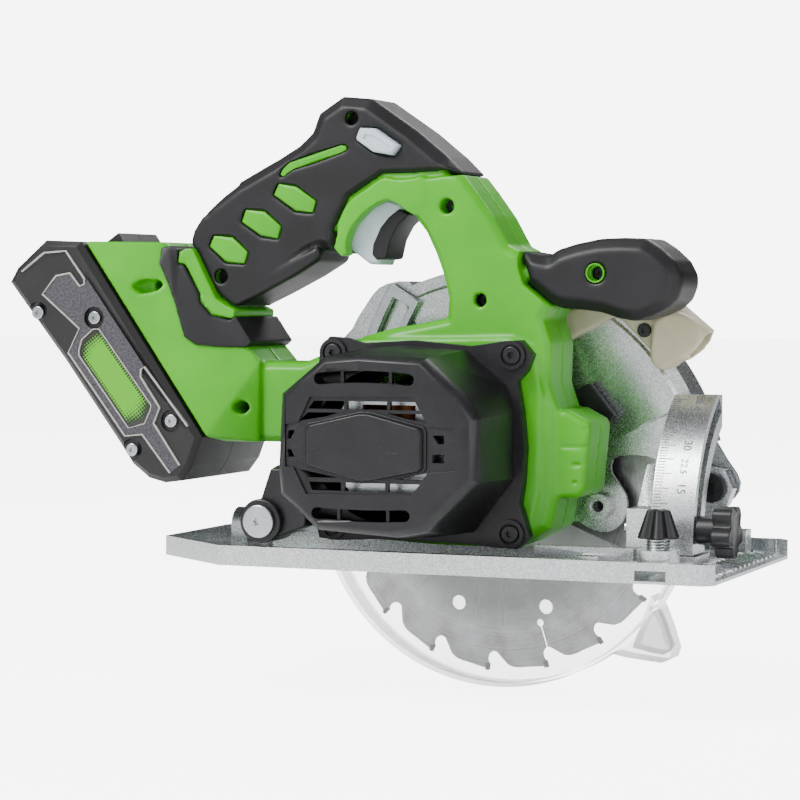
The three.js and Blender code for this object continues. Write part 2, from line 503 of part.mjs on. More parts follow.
// ---- blade ---------------------------------------------------------------------------------------------
function blade() {
  const pitch = 360 / BLADE.teeth;
  const first = 227.18;
  const outline = Array.from({ length: BLADE.teeth }, (_, i) => {
    const at = first + i * pitch;
    return [
      polar(BLADE.x, BLADE.z, BLADE.r - BLADE.gullet, at),
      polar(BLADE.x, BLADE.z, BLADE.r - BLADE.gullet + 1.5, at + 3.5),
      ...arc(BLADE.x, BLADE.z, BLADE.r - 1.8, at + 7.5, at + 18.2, 1),
      polar(BLADE.x, BLADE.z, BLADE.r, at + 18.6),
    ];
  }).flat();
  const slots = [0, 4, 9, 13].map((tooth) => {
    const [x, z] = polar(BLADE.x, BLADE.z, 62, first + tooth * pitch + 2);
    return rod('y', x, z, 2.2, 0, 50, 10);
  });
  const half = BLADE.plate / 2;
  return cut(prism('y', outline, BLADE.y - half, BLADE.y + half), rod('y', BLADE.x, BLADE.z, 5 + GAP, 0, 50),
    ...slots);
}
add('blade', blade(), COLOURS.steel);
add('inner_flange', tube('y', BLADE.x, BLADE.z, 15, 5 + GAP, 20.2, BLADE.y - 1), COLOURS.steel);
add('outer_flange', tube('y', BLADE.x, BLADE.z, 15, 5 + GAP, BLADE.y + 1, 28.3), COLOURS.steel);
add('blade_bolt', join(
  rod('y', BLADE.x, BLADE.z, 7, 28.9, 30.4), prism('y', arc(BLADE.x, BLADE.z, 5.6, 0, 300, 5), 30, 35.5),
), COLOURS.steel);

const portScrew = [80.2, 103];

// ---- guards --------------------------------------------------------------------------------------------
const nearWallOutline = [
  ...arc(BLADE.x, BLADE.z, GUARD.outer, 27, 176, 18), [-88, 16], [-40, 16], [-20, 14], [20, 14], [43.2, 17.5],
  [48.7, 17.7], [55.6, 14.6], [61, 13.3], [65.6, 14.9], [70.2, 21.7], [70.5, 28.3], [63.1, 39.9], [66.1, 46.9],
  [84.8, 46], [97, 44], [103.4, 33], [111, 27], [119, 29.5], [122, 36.3], [119, 43], [110, 56],
];

function upperGuard() {
  const { y0, wall, y1, inner, outer } = GUARD;
  const nearWall = prism('y', nearWallOutline, y0, y0 + wall);
  const rim = prism('y', sector(BLADE.x, BLADE.z, inner, outer, 14, 177, 20), y0, y1);
  const farWall = prism('y', sector(BLADE.x, BLADE.z, 64, outer, 16, 172, 18), y1 - 2, y1);
  const rearBoss = prism('y', [[-64, 97], [-51, 119], [-45, 122.5], [-34, 124.6], [-30, 118], [-40, 112], [-56, 98]],
    y0, y1);
  const hub = rod('y', BLADE.x, BLADE.z, 17, y0, 19.6, 24);
  const boss = rod('y', 59, 25, 5.6, 9, y0 + 1);
  const bearingBore = rod('y', BLADE.x, BLADE.z, 13 + GAP, 0, 16, 20);
  const hubBore = rod('y', BLADE.x, BLADE.z, 5 + GAP, 0, 30);
  const pivotBore = rod('y', PIVOT.x, PIVOT.z, 3.5 + GAP, 0, 40, 16);
  const depthBolt = rod('y', PIVOT.x - DEPTH.slot, PIVOT.z, 4 + GAP, 0, 30, 16);
  const bossBore = rod('y', 59, 25, 2.2, 0, 14, 12);
  const screw = rod('y', ...portScrew, 1.8, 0, 30, 10);
  return cut(join(nearWall, rim, farWall, rearBoss, hub, boss), bearingBore, hubBore, pivotBore, depthBolt, bossBore,
    screw);
}
add('upper_guard', upperGuard(), COLOURS.cast);

function lowerGuard() {
  const { y0, y1, r, wall, from, to } = LOWER;
  const side = [...arc(BLADE.x, BLADE.z, r, from, to, 20), ...arc(BLADE.x, BLADE.z, 24, to, to + 30, 1),
    ...arc(BLADE.x, BLADE.z, 24, from - 30, from, 1)];
  const walls = [y0, y1 - wall].map((y) => prism('y', side, y, y + wall));
  const rim = prism('y', sector(BLADE.x, BLADE.z, r - wall, r, from, to, 20), y0, y1);
  const lip = prism('y', [[61.9, -40.8], [86.5, -44], [91, -38.5], [81, -14.5], [77, -25], [70, -33]], y0, y1);
  const hubs = [y0, y1 - wall].map((y) => rod('y', BLADE.x, BLADE.z, 25, y, y + wall, 20));
  const nearBore = rod('y', BLADE.x, BLADE.z, 17.2 + GAP, 0, y0 + wall + 1, 24);
  const farBore = rod('y', BLADE.x, BLADE.z, 19, y1 - wall - 1, 40, 20);
  return cut(join(...walls, rim, lip, ...hubs), nearBore, farBore);
}
add('lower_guard', lowerGuard(), COLOURS.clear);
const [leverX, leverZ] = polar(BLADE.x, BLADE.z, 42, -175);
add('guard_lever', join(
  rod('y', leverX, leverZ, 8, LOWER.y1 + GAP, 38), rod('y', leverX, leverZ, 5, 37, 48),
), COLOURS.knob);

// ---- dust port -----------------------------------------------------------------------------------------
const PORT = { x: 95, z: 104.7, y: 13, outer: 8.8, inner: 7, angle: 39.7 };   // tube, axis down and forward

function dustPort() {
  const place = (shape) => shape.rotate([0, PORT.angle, 0]).translate([PORT.x, PORT.y, PORT.z]);
  const pipe = place(rod('x', 0, 0, PORT.outer, -7, 12.5, 20));
  const bore = place(rod('x', 0, 0, PORT.inner, -3, 20, 20));
  const plate = prism('y', [[64, 110], [70, 107], [90.5, 86.3], [94.8, 88.5], [96, 100], [86, 112], [70, 113.5]], 9, 14.8, 1);
  const duct = prism('y', [[30, 99], [44, 97.5], [66, 109], [72, 114], [52, 114], [34, 107]], 9, 14.8, 1);
  const screwHole = rod('y', ...portScrew, 2.2, 0, 30, 10);
  return cut(join(pipe, plate, duct), bore, screwHole);
}
add('dust_port', dustPort(), COLOURS.ivory);
add('dust_port_screw', join(rod('y', ...portScrew, 3.2, 7.4, 8.7, 14), rod('y', ...portScrew, 1.5, 8, 17, 8)),
  COLOURS.knob);

// ---- levers --------------------------------------------------------------------------------------------
const depthBolt = [PIVOT.x - DEPTH.slot, PIVOT.z];
add('depth_lever', join(
  rod('y', ...depthBolt, 7, 2, 9.6), rod('y', ...depthBolt, 4, 9, 17.1, 16),
  prism('y', [[-56, 31], [-86, 20], [-90, 22], [-89, 28], [-58, 40]], 3, 8, 1),
), COLOURS.knob);
add('spindle_lock_lever', join(
  prism('y', [[48, 76], [54.9, 79.5], [66.5, 65.5], [62, 59.8], [55, 62], [49.6, 68.4]], 9.4, 14.4),
  prism('y', [[46, 57.6], [43.8, 60.3], [54, 69], [56.5, 66]], 10.4, 13.4),
), COLOURS.black);

// ---- battery -------------------------------------------------------------------------------------------
const batteryOutline = [
  [-183.4, 142], [-165.6, 141.4], [-105.3, 54.6], [-110, 42], [-115.3, 35.1], [-123.4, 34], [-131.5, 36],
  [-139.6, 42.2], [-145.8, 51.1], [-173.6, 88.2], [-201.8, 123.1], [-198.1, 129.5],
];
const BATTERY_MIDDLE = -15;
const LATCH_TRAVEL = 2.5;

function batteryCase() {
  const shell = prism('y', batteryOutline, BATTERY.y0, BATTERY.y1, 2.5);
  const rails = onRail(block(2, 76, -34, 4, -3, 10));
  const room = prism('y', inset(batteryOutline, 2.5), BATTERY.y0 + 3, BATTERY.y1 - 3);
  const latchRoom = join(...[0, LATCH_TRAVEL].map((step) => prism(
    'y', inset(latchOutline, -0.5), -30.6, 0.6,
  ).translate([0.571 * step, 0, -0.821 * step])));
  const labelRoom = prism('y', inset(labelOutline, -GAP), -60, BATTERY.y0 + 0.8);
  return cut(join(cut(shell, room), rails), latchRoom, labelRoom);
}

const latchOutline = [[-196, 127.5], [-187, 138.5], [-178, 138.5], [-186.5, 127.5]];
const labelOutline = [
  [-158.4, 103], [-155, 103.2], [-130, 68.3], [-133, 61], [-139, 58.6], [-164.6, 90],
];
const pack = batteryCase();
add('battery_case_right', pack.intersect(block(-300, 0, -100, BATTERY_MIDDLE - GAP / 2, 0, 200)), COLOURS.battery);
add('battery_case_left', pack.intersect(block(-300, 0, BATTERY_MIDDLE + GAP / 2, 100, 0, 200)), COLOURS.battery);
add('battery_label', prism('y', labelOutline, BATTERY.y0 - 0.4, BATTERY.y0 + 0.5), COLOURS.green);
add('battery_latch', prism('y', latchOutline, -30, 0, 1), COLOURS.black);
const cellRow = { x: -167.9, z: 122.5, stepX: 10.85, stepZ: -15.6 };
for (let i = 0; i < 5; i += 1) {
  const [x, z] = [cellRow.x + i * cellRow.stepX, cellRow.z + i * cellRow.stepZ];
  add(`battery_cell_${i + 1}`, rod('y', x, z, 9.1, -47, 17), COLOURS.cell);
}
add('terminal_block', onRail(block(81, 97, -29, -1, 0.5, 13)), COLOURS.black);

saw.position.y = ORIGIN_SHIFT;

export default saw;
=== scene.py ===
from math import asin, atan2, cos, hypot, pi, radians, sin
import bpy
from mathutils import Matrix, Vector


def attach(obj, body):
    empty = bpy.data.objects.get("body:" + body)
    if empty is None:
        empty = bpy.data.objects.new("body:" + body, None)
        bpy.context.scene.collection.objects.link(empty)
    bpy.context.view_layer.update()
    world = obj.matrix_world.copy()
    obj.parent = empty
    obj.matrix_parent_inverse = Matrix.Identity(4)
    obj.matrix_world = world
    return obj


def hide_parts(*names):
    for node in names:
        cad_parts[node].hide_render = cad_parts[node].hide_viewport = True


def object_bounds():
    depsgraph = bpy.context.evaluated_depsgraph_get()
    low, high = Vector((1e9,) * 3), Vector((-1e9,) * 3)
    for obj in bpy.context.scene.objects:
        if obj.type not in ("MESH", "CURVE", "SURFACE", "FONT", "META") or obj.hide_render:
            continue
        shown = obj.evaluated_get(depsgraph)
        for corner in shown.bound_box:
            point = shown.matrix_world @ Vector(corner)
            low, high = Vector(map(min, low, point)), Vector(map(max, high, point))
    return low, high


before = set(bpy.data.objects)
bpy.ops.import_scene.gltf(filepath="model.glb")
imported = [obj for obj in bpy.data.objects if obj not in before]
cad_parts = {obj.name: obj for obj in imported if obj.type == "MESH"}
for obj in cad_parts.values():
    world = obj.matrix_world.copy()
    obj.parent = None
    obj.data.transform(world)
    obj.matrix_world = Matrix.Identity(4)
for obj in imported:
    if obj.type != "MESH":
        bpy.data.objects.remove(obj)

cad_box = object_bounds()
MM = 0.001

# ---- studio --------------------------------------------------------------------------------------------
# A pale sweep of floor under the saw, one large soft box high on the left, a weaker one on the right and a
# strip from behind, in a white surround that is brighter in front, for the metal and the clear guard to mirror.


def linear(hex_colour):
    """An sRGB hex colour as linear RGBA."""
    channels = [int(hex_colour[i:i + 2], 16) / 255 for i in (1, 3, 5)]
    return tuple(c / 12.92 if c <= 0.04045 else ((c + 0.055) / 1.055) ** 2.4 for c in channels) + (1,)


def add_node(tree, kind, settings=None, links=None):
    """Adds one shader node: settings fill its sockets or properties, links join other nodes' outputs to it."""
    node = tree.nodes.new(kind)
    for key, value in (settings or {}).items():
        if isinstance(key, int) or key in node.inputs:
            node.inputs[key].default_value = value
        else:
            setattr(node, key, value)
    for key, output in (links or {}).items():
        tree.links.new(output, node.inputs[key])
    return node


def start_material(name):
    """An empty material's node tree and the object coordinates in metres."""
    material = bpy.data.materials.new(name)
    material.use_nodes = True
    material.node_tree.nodes.clear()
    place = add_node(material.node_tree, "ShaderNodeTexCoord").outputs["Object"]
    return material, material.node_tree, place


def close_material(tree, shader):
    """Joins the finished shader to the material's output."""
    add_node(tree, "ShaderNodeOutputMaterial", links={"Surface": shader.outputs[0]})


world = bpy.data.worlds.new("white_surround")
world.use_nodes = True
tree = world.node_tree
tree.nodes.clear()
heading = add_node(
    tree, "ShaderNodeSeparateXYZ", links={0: add_node(tree, "ShaderNodeTexCoord").outputs["Generated"]},
)
share = add_node(
    tree, "ShaderNodeMapRange", {"From Min": -1.0, "From Max": 0.6, "To Min": 1.05, "To Max": 0.08},
    {"Value": heading.outputs["Y"]},
)
lit = add_node(
    tree, "ShaderNodeBackground", {"Color": linear("#F4F7FA")}, {"Strength": share.outputs["Result"]},
)
seen = add_node(tree, "ShaderNodeBackground", {"Color": linear("#FFFFFF"), "Strength": 7.0})
direct = add_node(tree, "ShaderNodeLightPath")
surround = add_node(
    tree, "ShaderNodeMixShader",
    links={0: direct.outputs["Is Camera Ray"], 1: lit.outputs[0], 2: seen.outputs[0]},
)
add_node(tree, "ShaderNodeOutputWorld", links={"Surface": surround.outputs[0]})
bpy.context.scene.world = world

# Seamless paper: an even off-white that only shows the saw's own soft shade.
paper, tree, place = start_material("seamless_paper")
grain = add_node(tree, "ShaderNodeTexNoise", {"Scale": 900.0, "Detail": 2.0}, {"Vector": place})
bump = add_node(tree, "ShaderNodeBump", {"Strength": 0.05, "Distance": 0.0002}, {"Height": grain.outputs["Fac"]})
direct = add_node(tree, "ShaderNodeLightPath")
glow = add_node(tree, "ShaderNodeMapRange", {"To Min": 0.25, "To Max": 5.6}, {"Value": direct.outputs["Is Camera Ray"]})
sheet = add_node(
    tree, "ShaderNodeBsdfPrincipled",
    {"Base Color": linear("#F8F8F8"), "Roughness": 0.9, "Emission Color": linear("#FFFFFF")},
    {"Normal": bump.outputs["Normal"], "Emission Strength": glow.outputs["Result"]},
)
close_material(tree, sheet)

bpy.ops.object.select_all(action="DESELECT")
bpy.ops.mesh.primitive_circle_add(vertices=64, radius=9, fill_type="NGON", location=(0, 0, cad_box[0][2] - 0.001))
floor = bpy.context.object
floor.name = "studio_floor"
floor.data.materials.append(paper)


def soft_box(name, place, aim, size, power):
    """A square soft light that looks at a point."""
    lamp = bpy.data.lights.new(name, "AREA")
    lamp.shape = "SQUARE"
    lamp.size = size
    lamp.energy = power
    light = bpy.data.objects.new(name, lamp)
    light.location = place
    light.rotation_euler = (Vector(aim) - Vector(place)).to_track_quat("-Z", "Y").to_euler()
    bpy.context.scene.collection.objects.link(light)


soft_box("key_soft_box", (-0.7, -0.9, 1.3), (0, 0, 0.08), 0.8, 36)
soft_box("fill_soft_box", (1.3, -0.8, 0.5), (0, 0, 0.06), 0.8, 6)
soft_box("back_strip", (0.25, 1.1, 1.3), (0, 0, 0.1), 0.7, 16)

# Portrait-length lens, level with the motor and turned to look along the saw from its motor side.
lens = bpy.data.cameras.new("camera")
lens.lens = 124.78
lens.sensor_width = 36
lens.clip_start = 0.05
camera = bpy.data.objects.new("camera", lens)
right, up, back = (0.92927, 0.36936, 0.0041), (-0.01877, 0.03615, 0.99916), (0.36891, -0.92858, 0.04052)
camera.matrix_world = Matrix.Translation((0.428805, -1.119055, 0.121292)) @ Matrix(
    (right, up, back)).transposed().to_4x4()
bpy.context.scene.collection.objects.link(camera)
bpy.context.scene.camera = camera

# ---- base ----------------------------------------------------------------------------------------------
# The sole is a pressure die casting in aluminium alloy, a flat tray with a stiffening rim, a slot for the blade
# and a ramp at the front edge. It is bead blasted after casting, so it has fine bright speckle and soft edges.

# Die-cast aluminium, blasted: pale grey metal that glitters in tiny grains and is a little darker in its hollows.
cast_aluminium, tree, place = start_material("die_cast_aluminium_blasted")
fleck = add_node(tree, "ShaderNodeTexVoronoi", {"Scale": 1 / (0.6 * MM)}, {"Vector": place})
pores = add_node(tree, "ShaderNodeTexNoise", {"Scale": 1 / (2.2 * MM), "Detail": 4.0}, {"Vector": place})
cloud = add_node(tree, "ShaderNodeTexNoise", {"Scale": 1 / (28 * MM), "Detail": 3.0}, {"Vector": place})
tone = add_node(tree, "ShaderNodeValToRGB", links={"Fac": fleck.outputs["Color"]})
tone.color_ramp.elements[0].color = linear("#BEC2C4")
tone.color_ramp.elements[1].color = linear("#F2F4F4")
cast_tint = add_node(
    tree, "ShaderNodeMix", {"data_type": "RGBA", "blend_type": "MULTIPLY", 0: 0.1},
    {6: tone.outputs["Color"], 7: cloud.outputs["Color"]},
)
gloss = add_node(
    tree, "ShaderNodeMapRange", {"To Min": 0.2, "To Max": 0.33}, {"Value": fleck.outputs["Distance"]},
)
dents = add_node(
    tree, "ShaderNodeMath", {"operation": "ADD"}, {0: fleck.outputs["Distance"], 1: pores.outputs["Fac"]},
)
blasting = add_node(
    tree, "ShaderNodeBump", {"Strength": 0.14, "Distance": 0.05 * MM}, {"Height": dents.outputs["Value"]},
)
close_material(tree, add_node(
    tree, "ShaderNodeBsdfPrincipled", {"Metallic": 0.92},
    {"Base Color": cast_tint.outputs[2], "Roughness": gloss.outputs["Result"], "Normal": blasting.outputs["Normal"]},
))


def let_go():
    """Nothing stays selected, so that the next operator acts on its own piece only."""
    bpy.ops.object.select_all(action="DESELECT")


def finish_piece(piece, name, material, body, slot, *nodes):
    """Names a piece, gives it its material, and says what it rides on and which solids it stands for."""
    piece.name = name
    piece.data.name = name
    piece.data.materials.clear()
    piece.data.materials.append(material)
    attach(piece, body)
    if nodes:
        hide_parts(*nodes)
    return piece


def apply_modifier(piece, kind, **settings):
    """Adds a modifier to a piece and applies it at once."""
    let_go()
    bpy.context.view_layer.objects.active = piece
    piece.select_set(True)
    modifier = piece.modifiers.new(kind.lower(), kind)
    for key, value in settings.items():
        setattr(modifier, key, value)
    bpy.ops.object.modifier_apply(modifier=modifier.name)


def smooth_faces(piece, degrees=35):
    """Smooth shading that keeps the edges sharper than the given angle."""
    let_go()
    bpy.context.view_layer.objects.active = piece
    piece.select_set(True)
    bpy.ops.object.shade_smooth_by_angle(angle=radians(degrees))


def round_edges(piece, width, segments=2, degrees=30):
    """Rounds every sharp edge of a piece, its flat faces staying flat."""
    smooth_faces(piece, degrees)
    apply_modifier(
        piece, "BEVEL", width=width * MM, segments=segments, limit_method="ANGLE", angle_limit=radians(degrees),
        harden_normals=True, use_clamp_overlap=True,
    )


def raw_copy(node):
    """A copy of a solid's mesh, its loose triangles joined up."""
    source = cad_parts[node]
    piece = bpy.data.objects.new(node + "_copy", source.data.copy())
    bpy.context.scene.collection.objects.link(piece)
    let_go()
    bpy.context.view_layer.objects.active = piece
    piece.select_set(True)
    bpy.ops.object.mode_set(mode="EDIT")
    bpy.ops.mesh.select_all(action="SELECT")
    bpy.ops.mesh.remove_doubles(threshold=0.01 * MM)
    bpy.ops.object.mode_set(mode="OBJECT")
    return piece


def crisp_copy(node, width, segments=2):
    """A casting or turned part: whole flat faces, with its sharp edges rounded by a width in millimetres."""
    piece = raw_copy(node)
    bpy.ops.object.mode_set(mode="EDIT")
    bpy.ops.mesh.select_all(action="SELECT")
    bpy.ops.mesh.dissolve_limited(angle_limit=radians(1))
    bpy.ops.object.mode_set(mode="OBJECT")
    round_edges(piece, width, segments)
    return piece


def moulded_copy(piece, voxel, passes):
    """A moulded part: its skin drawn again as an even net of `voxel` millimetres and softened at the edges."""
    apply_modifier(piece, "REMESH", mode="VOXEL", voxel_size=voxel * MM, use_smooth_shade=True)
    apply_modifier(piece, "SMOOTH", factor=0.5, iterations=passes)
    let_go()
    bpy.context.view_layer.objects.active = piece
    piece.select_set(True)
    bpy.ops.object.shade_smooth()
    return piece


def layered(name, rings):
    """A solid through outlines given as (y, [(x, z), ...]) in millimetres, all with the same number of points."""
    let_go()
    first_y, first = rings[0]
    bpy.ops.mesh.primitive_circle_add(vertices=len(first), fill_type="NGON")
    piece = bpy.context.object
    piece.name = name
    for vertex, (x, z) in zip(piece.data.vertices, first):
        vertex.co = (x * MM, first_y * MM, z * MM)
    for y, outline in rings[1:]:
        bpy.ops.object.mode_set(mode="EDIT")
        bpy.ops.mesh.extrude_region_move()
        bpy.ops.object.mode_set(mode="OBJECT")
        front = [vertex for vertex in piece.data.vertices if vertex.select]
        for vertex, (x, z) in zip(front, outline):
            vertex.co = (x * MM, y * MM, z * MM)
    bpy.ops.object.mode_set(mode="EDIT")
    bpy.ops.mesh.select_all(action="SELECT")
    bpy.ops.mesh.normals_make_consistent(inside=False)
    bpy.ops.object.mode_set(mode="OBJECT")
    return piece


def plate(name, outline, near, far):
    """A flat plate from y = near to y = far with an (x, z) outline, in millimetres."""
    return layered(name, [(near, outline), (far, outline)])


def post(name, axis, centre, radius, start, end, sides=48):
    """A round bar along x, y or z; the centre gives its two other coordinates in millimetres."""
    middle, length = (start + end) / 2, abs(end - start)
    place = {"x": (middle, *centre), "y": (centre[0], middle, centre[1]), "z": (*centre, middle)}[axis]
    turn = {"x": (0, pi / 2, 0), "y": (pi / 2, 0, 0), "z": (0, 0, 0)}[axis]
    let_go()
    bpy.ops.mesh.primitive_cylinder_add(
        vertices=sides, radius=radius * MM, depth=length * MM, location=Vector(place) * MM, rotation=turn,
    )
    bpy.ops.object.transform_apply(location=True, rotation=True, scale=True)
    bpy.context.object.name = name
    return bpy.context.object


def bar(name, low, high):
    """A rectangular bar between two corners in millimetres."""
    let_go()
    low, high = Vector(low) * MM, Vector(high) * MM
    bpy.ops.mesh.primitive_cube_add(size=1, location=(low + high) / 2, scale=high - low)
    bpy.ops.object.transform_apply(location=True, rotation=True, scale=True)
    bpy.context.object.name = name
    return bpy.context.object


def combine(piece, tool, operation):
    """Cuts a tool out of a piece, or joins it on, and throws the tool away."""
    apply_modifier(piece, "BOOLEAN", object=tool, operation=operation, solver="EXACT")
    bpy.data.objects.remove(tool)


def one_mesh(name, parts):
    """Several separate bodies of one piece, joined into one object."""
    let_go()
    for part in parts:
        part.select_set(True)
    bpy.context.view_layer.objects.active = parts[0]
    if len(parts) > 1:
        bpy.ops.object.join()
    parts[0].name = name
    return parts[0]


def twin(piece, name, matrix):
    """A copy of a piece with its own mesh, moved by a matrix."""
    copy = bpy.data.objects.new(name, piece.data.copy())
    copy.data.transform(matrix)
    bpy.context.scene.collection.objects.link(copy)
    return copy


def about(x, y, z, axis, degrees):
    """A turn about an axis through a point in millimetres."""
    shift = Matrix.Translation(Vector((x, y, z)) * MM)
    return shift @ Matrix.Rotation(radians(degrees), 4, axis) @ shift.inverted()


sole = crisp_copy("base_plate", 0.5)
chevrons = []
for step in range(16):
    across = -20 + step * 7.4
    leg = bar("leg", (117.5, across, 2.6), (130.5, across + 1.1, 4.6))
    leg.data.transform(about(117.5, across, 3, "Z", -24))
    leg.data.transform(about(117.5, across, 3, "Y", 5.5))
    hook = bar("hook", (111, across, 2.6), (118, across + 1.1, 4.6))
    hook.data.transform(about(117.5, across, 3, "Z", 30))
    combine(leg, hook, "UNION")
    chevrons.append(leg)
front_ribs = one_mesh("front_ribs", chevrons)
round_edges(front_ribs, 0.25)
finish_piece(sole, "sole_casting", cast_aluminium, "base", "cast_aluminium", "base_plate")
finish_piece(front_ribs, "sole_front_ribs", cast_aluminium, "base", "cast_aluminium")

# ---- hinge pins and brackets ---------------------------------------------------------------------------
# Two plain steel pins join the sole to the tilting brackets. The brackets are a small casting at the nose and
# a pressed, zinc-plated arc at the back that the depth lever clamps.

# Zinc-plated steel: a cool bright metal, slightly cloudy, with fine rubbed lines.
zinc_steel, tree, place = start_material("zinc_plated_steel")
haze = add_node(tree, "ShaderNodeTexNoise", {"Scale": 1 / (9 * MM), "Detail": 5.0}, {"Vector": place})
squeeze = add_node(tree, "ShaderNodeMapping", {"Scale": (1.0, 1.0, 14.0)}, {"Vector": place})
rubbing = add_node(
    tree, "ShaderNodeTexNoise", {"Scale": 1 / (4 * MM), "Detail": 3.0}, {"Vector": squeeze.outputs["Vector"]},
)
tone = add_node(tree, "ShaderNodeValToRGB", links={"Fac": haze.outputs["Fac"]})
tone.color_ramp.elements[0].color = linear("#A9AEB2")
tone.color_ramp.elements[1].color = linear("#D6D9DB")
gloss = add_node(tree, "ShaderNodeMapRange", {"To Min": 0.18, "To Max": 0.38}, {"Value": rubbing.outputs["Fac"]})
bump = add_node(
    tree, "ShaderNodeBump", {"Strength": 0.12, "Distance": 0.05 * MM}, {"Height": rubbing.outputs["Fac"]},
)
close_material(tree, add_node(
    tree, "ShaderNodeBsdfPrincipled", {"Metallic": 1.0},
    {"Base Color": tone.outputs["Color"], "Roughness": gloss.outputs["Result"], "Normal": bump.outputs["Normal"]},
))

for node, body, width, metal, slot in (
        ("front_hinge_pin", "base", 0.5, zinc_steel, "steel"),
        ("rear_hinge_pin", "base", 0.5, zinc_steel, "steel"),
        ("front_tilt_bracket", "tilt_frame", 0.9, cast_aluminium, "cast_aluminium"),
        ("rear_tilt_bracket", "tilt_frame", 0.4, zinc_steel, "steel"),
        ("depth_bracket", "tilt_frame", 0.4, zinc_steel, "steel")):
    finish_piece(crisp_copy(node, width), node + "_detail", metal, body, slot, node)

# ---- bevel quadrant ------------------------------------------------------------------------------------
# A cast arc about the tilt axis with degree marks pressed into its rim. The marks are filled black, a short one
# for each degree and a long one for each fifth, with numbers beside the usual stops.

# Engraved marks: flat black filler with a little grain.
mark_black, tree, place = start_material("black_mark_filler")
grain = add_node(tree, "ShaderNodeTexNoise", {"Scale": 1 / (0.4 * MM)}, {"Vector": place})
tone = add_node(tree, "ShaderNodeValToRGB", links={"Fac": grain.outputs["Fac"]})
tone.color_ramp.elements[0].color = linear("#5C5E61")
tone.color_ramp.elements[1].color = linear("#8A8C8F")
close_material(tree, add_node(
    tree, "ShaderNodeBsdfPrincipled", {"Roughness": 0.7}, {"Base Color": tone.outputs["Color"]},
))

TILT_Y, TILT_Z, RIM = 85, 9, 77.5
quadrant = crisp_copy("bevel_quadrant", 0.7, 3)
finish_piece(quadrant, "bevel_quadrant_casting", cast_aluminium, "base", "cast_aluminium", "bevel_quadrant")


def on_rim(piece, degrees):
    """Turns something modelled at 0 degrees, on the near side of the arc, up along the rim."""
    piece.data.transform(about(0, TILT_Y, TILT_Z, "X", -degrees))


marks = []
for degree in range(0, 51):
    length = 6.5 if degree % 5 == 0 else 3.4
    mark = bar("mark", (95.6, TILT_Y - RIM - 0.12, TILT_Z - 0.16), (95.6 + length, TILT_Y - RIM + 0.4, TILT_Z + 0.16))
    on_rim(mark, degree + 6)
    marks.append(mark)
for value in (0, 15, 22.5, 30, 45, 50):
    let_go()
    bpy.ops.object.text_add()
    number = bpy.context.object
    number.data.body = str(value)
    number.data.size = (5.2 if value % 1 == 0 else 4.2) * MM
    number.data.extrude = 0.12 * MM
    number.data.align_x = "CENTER"
    number.data.align_y = "CENTER"
    number.data.resolution_u = 3
    bpy.ops.object.convert(target="MESH")
    number = bpy.context.object
    number.data.transform(Matrix.Rotation(pi / 2, 4, "X"))
    number.data.transform(Matrix.Rotation(pi / 2, 4, "Y"))
    number.data.transform(Matrix.Translation(Vector((107.2, TILT_Y - RIM - 0.02, TILT_Z)) * MM))
    on_rim(number, value + 6)
    marks.append(number)
dial = one_mesh("degree_marks", marks)
finish_piece(dial, "degree_marks", mark_black, "base", "cast_aluminium")

# ---- clamp knobs ---------------------------------------------------------------------------------------
# Two glass-filled nylon knobs with five lobes, moulded round steel studs. The fence knob stands on a bright coil
# spring; the bevel knob pulls the nose bracket against the quadrant.

# Black nylon, moulded: nearly black with a soft sheen and a faint mould grain.
black_nylon, tree, place = start_material("black_glass_filled_nylon")
grain = add_node(tree, "ShaderNodeTexNoise", {"Scale": 1 / (0.7 * MM), "Detail": 3.0}, {"Vector": place})
cloud = add_node(tree, "ShaderNodeTexNoise", {"Scale": 1 / (14 * MM), "Detail": 4.0}, {"Vector": place})
tone = add_node(tree, "ShaderNodeValToRGB", links={"Fac": cloud.outputs["Fac"]})
tone.color_ramp.elements[0].color = linear("#0A0A0C")
tone.color_ramp.elements[1].color = linear("#151518")
gloss = add_node(tree, "ShaderNodeMapRange", {"To Min": 0.34, "To Max": 0.5}, {"Value": cloud.outputs["Fac"]})
bump = add_node(tree, "ShaderNodeBump", {"Strength": 0.25, "Distance": 0.06 * MM}, {"Height": grain.outputs["Fac"]})
close_material(tree, add_node(
    tree, "ShaderNodeBsdfPrincipled", {"IOR": 1.52},
    {"Base Color": tone.outputs["Color"], "Roughness": gloss.outputs["Result"], "Normal": bump.outputs["Normal"]},
))


def lobed_knob(name, radius, depth, height):
    """A five-lobed knob standing on the origin along z, its lobes crowned and its top dished."""
    let_go()
    bpy.ops.mesh.primitive_cylinder_add(vertices=80, radius=radius * MM, depth=height * MM,
                                        location=(0, 0, height / 2 * MM))
    bpy.ops.object.transform_apply(location=True, rotation=True, scale=True)
    knob = bpy.context.object
    knob.name = name
    for vertex in knob.data.vertices:
        turn = atan2(vertex.co.y, vertex.co.x)
        share = 1 - depth / radius * (0.5 - 0.5 * cos(5 * turn)) ** 1.6
        vertex.co.x *= share
        vertex.co.y *= share
    bpy.ops.object.mode_set(mode="EDIT")
    bpy.ops.mesh.select_all(action="DESELECT")
    bpy.ops.object.mode_set(mode="OBJECT")
    for face in knob.data.polygons:
        face.select = face.normal.z > 0.9
    bpy.ops.object.mode_set(mode="EDIT")
    bpy.ops.mesh.inset(thickness=2.2 * MM)
    bpy.ops.transform.translate(value=(0, 0, -0.8 * MM))
    bpy.ops.object.mode_set(mode="OBJECT")
    round_edges(knob, 0.8, 3)
    return knob


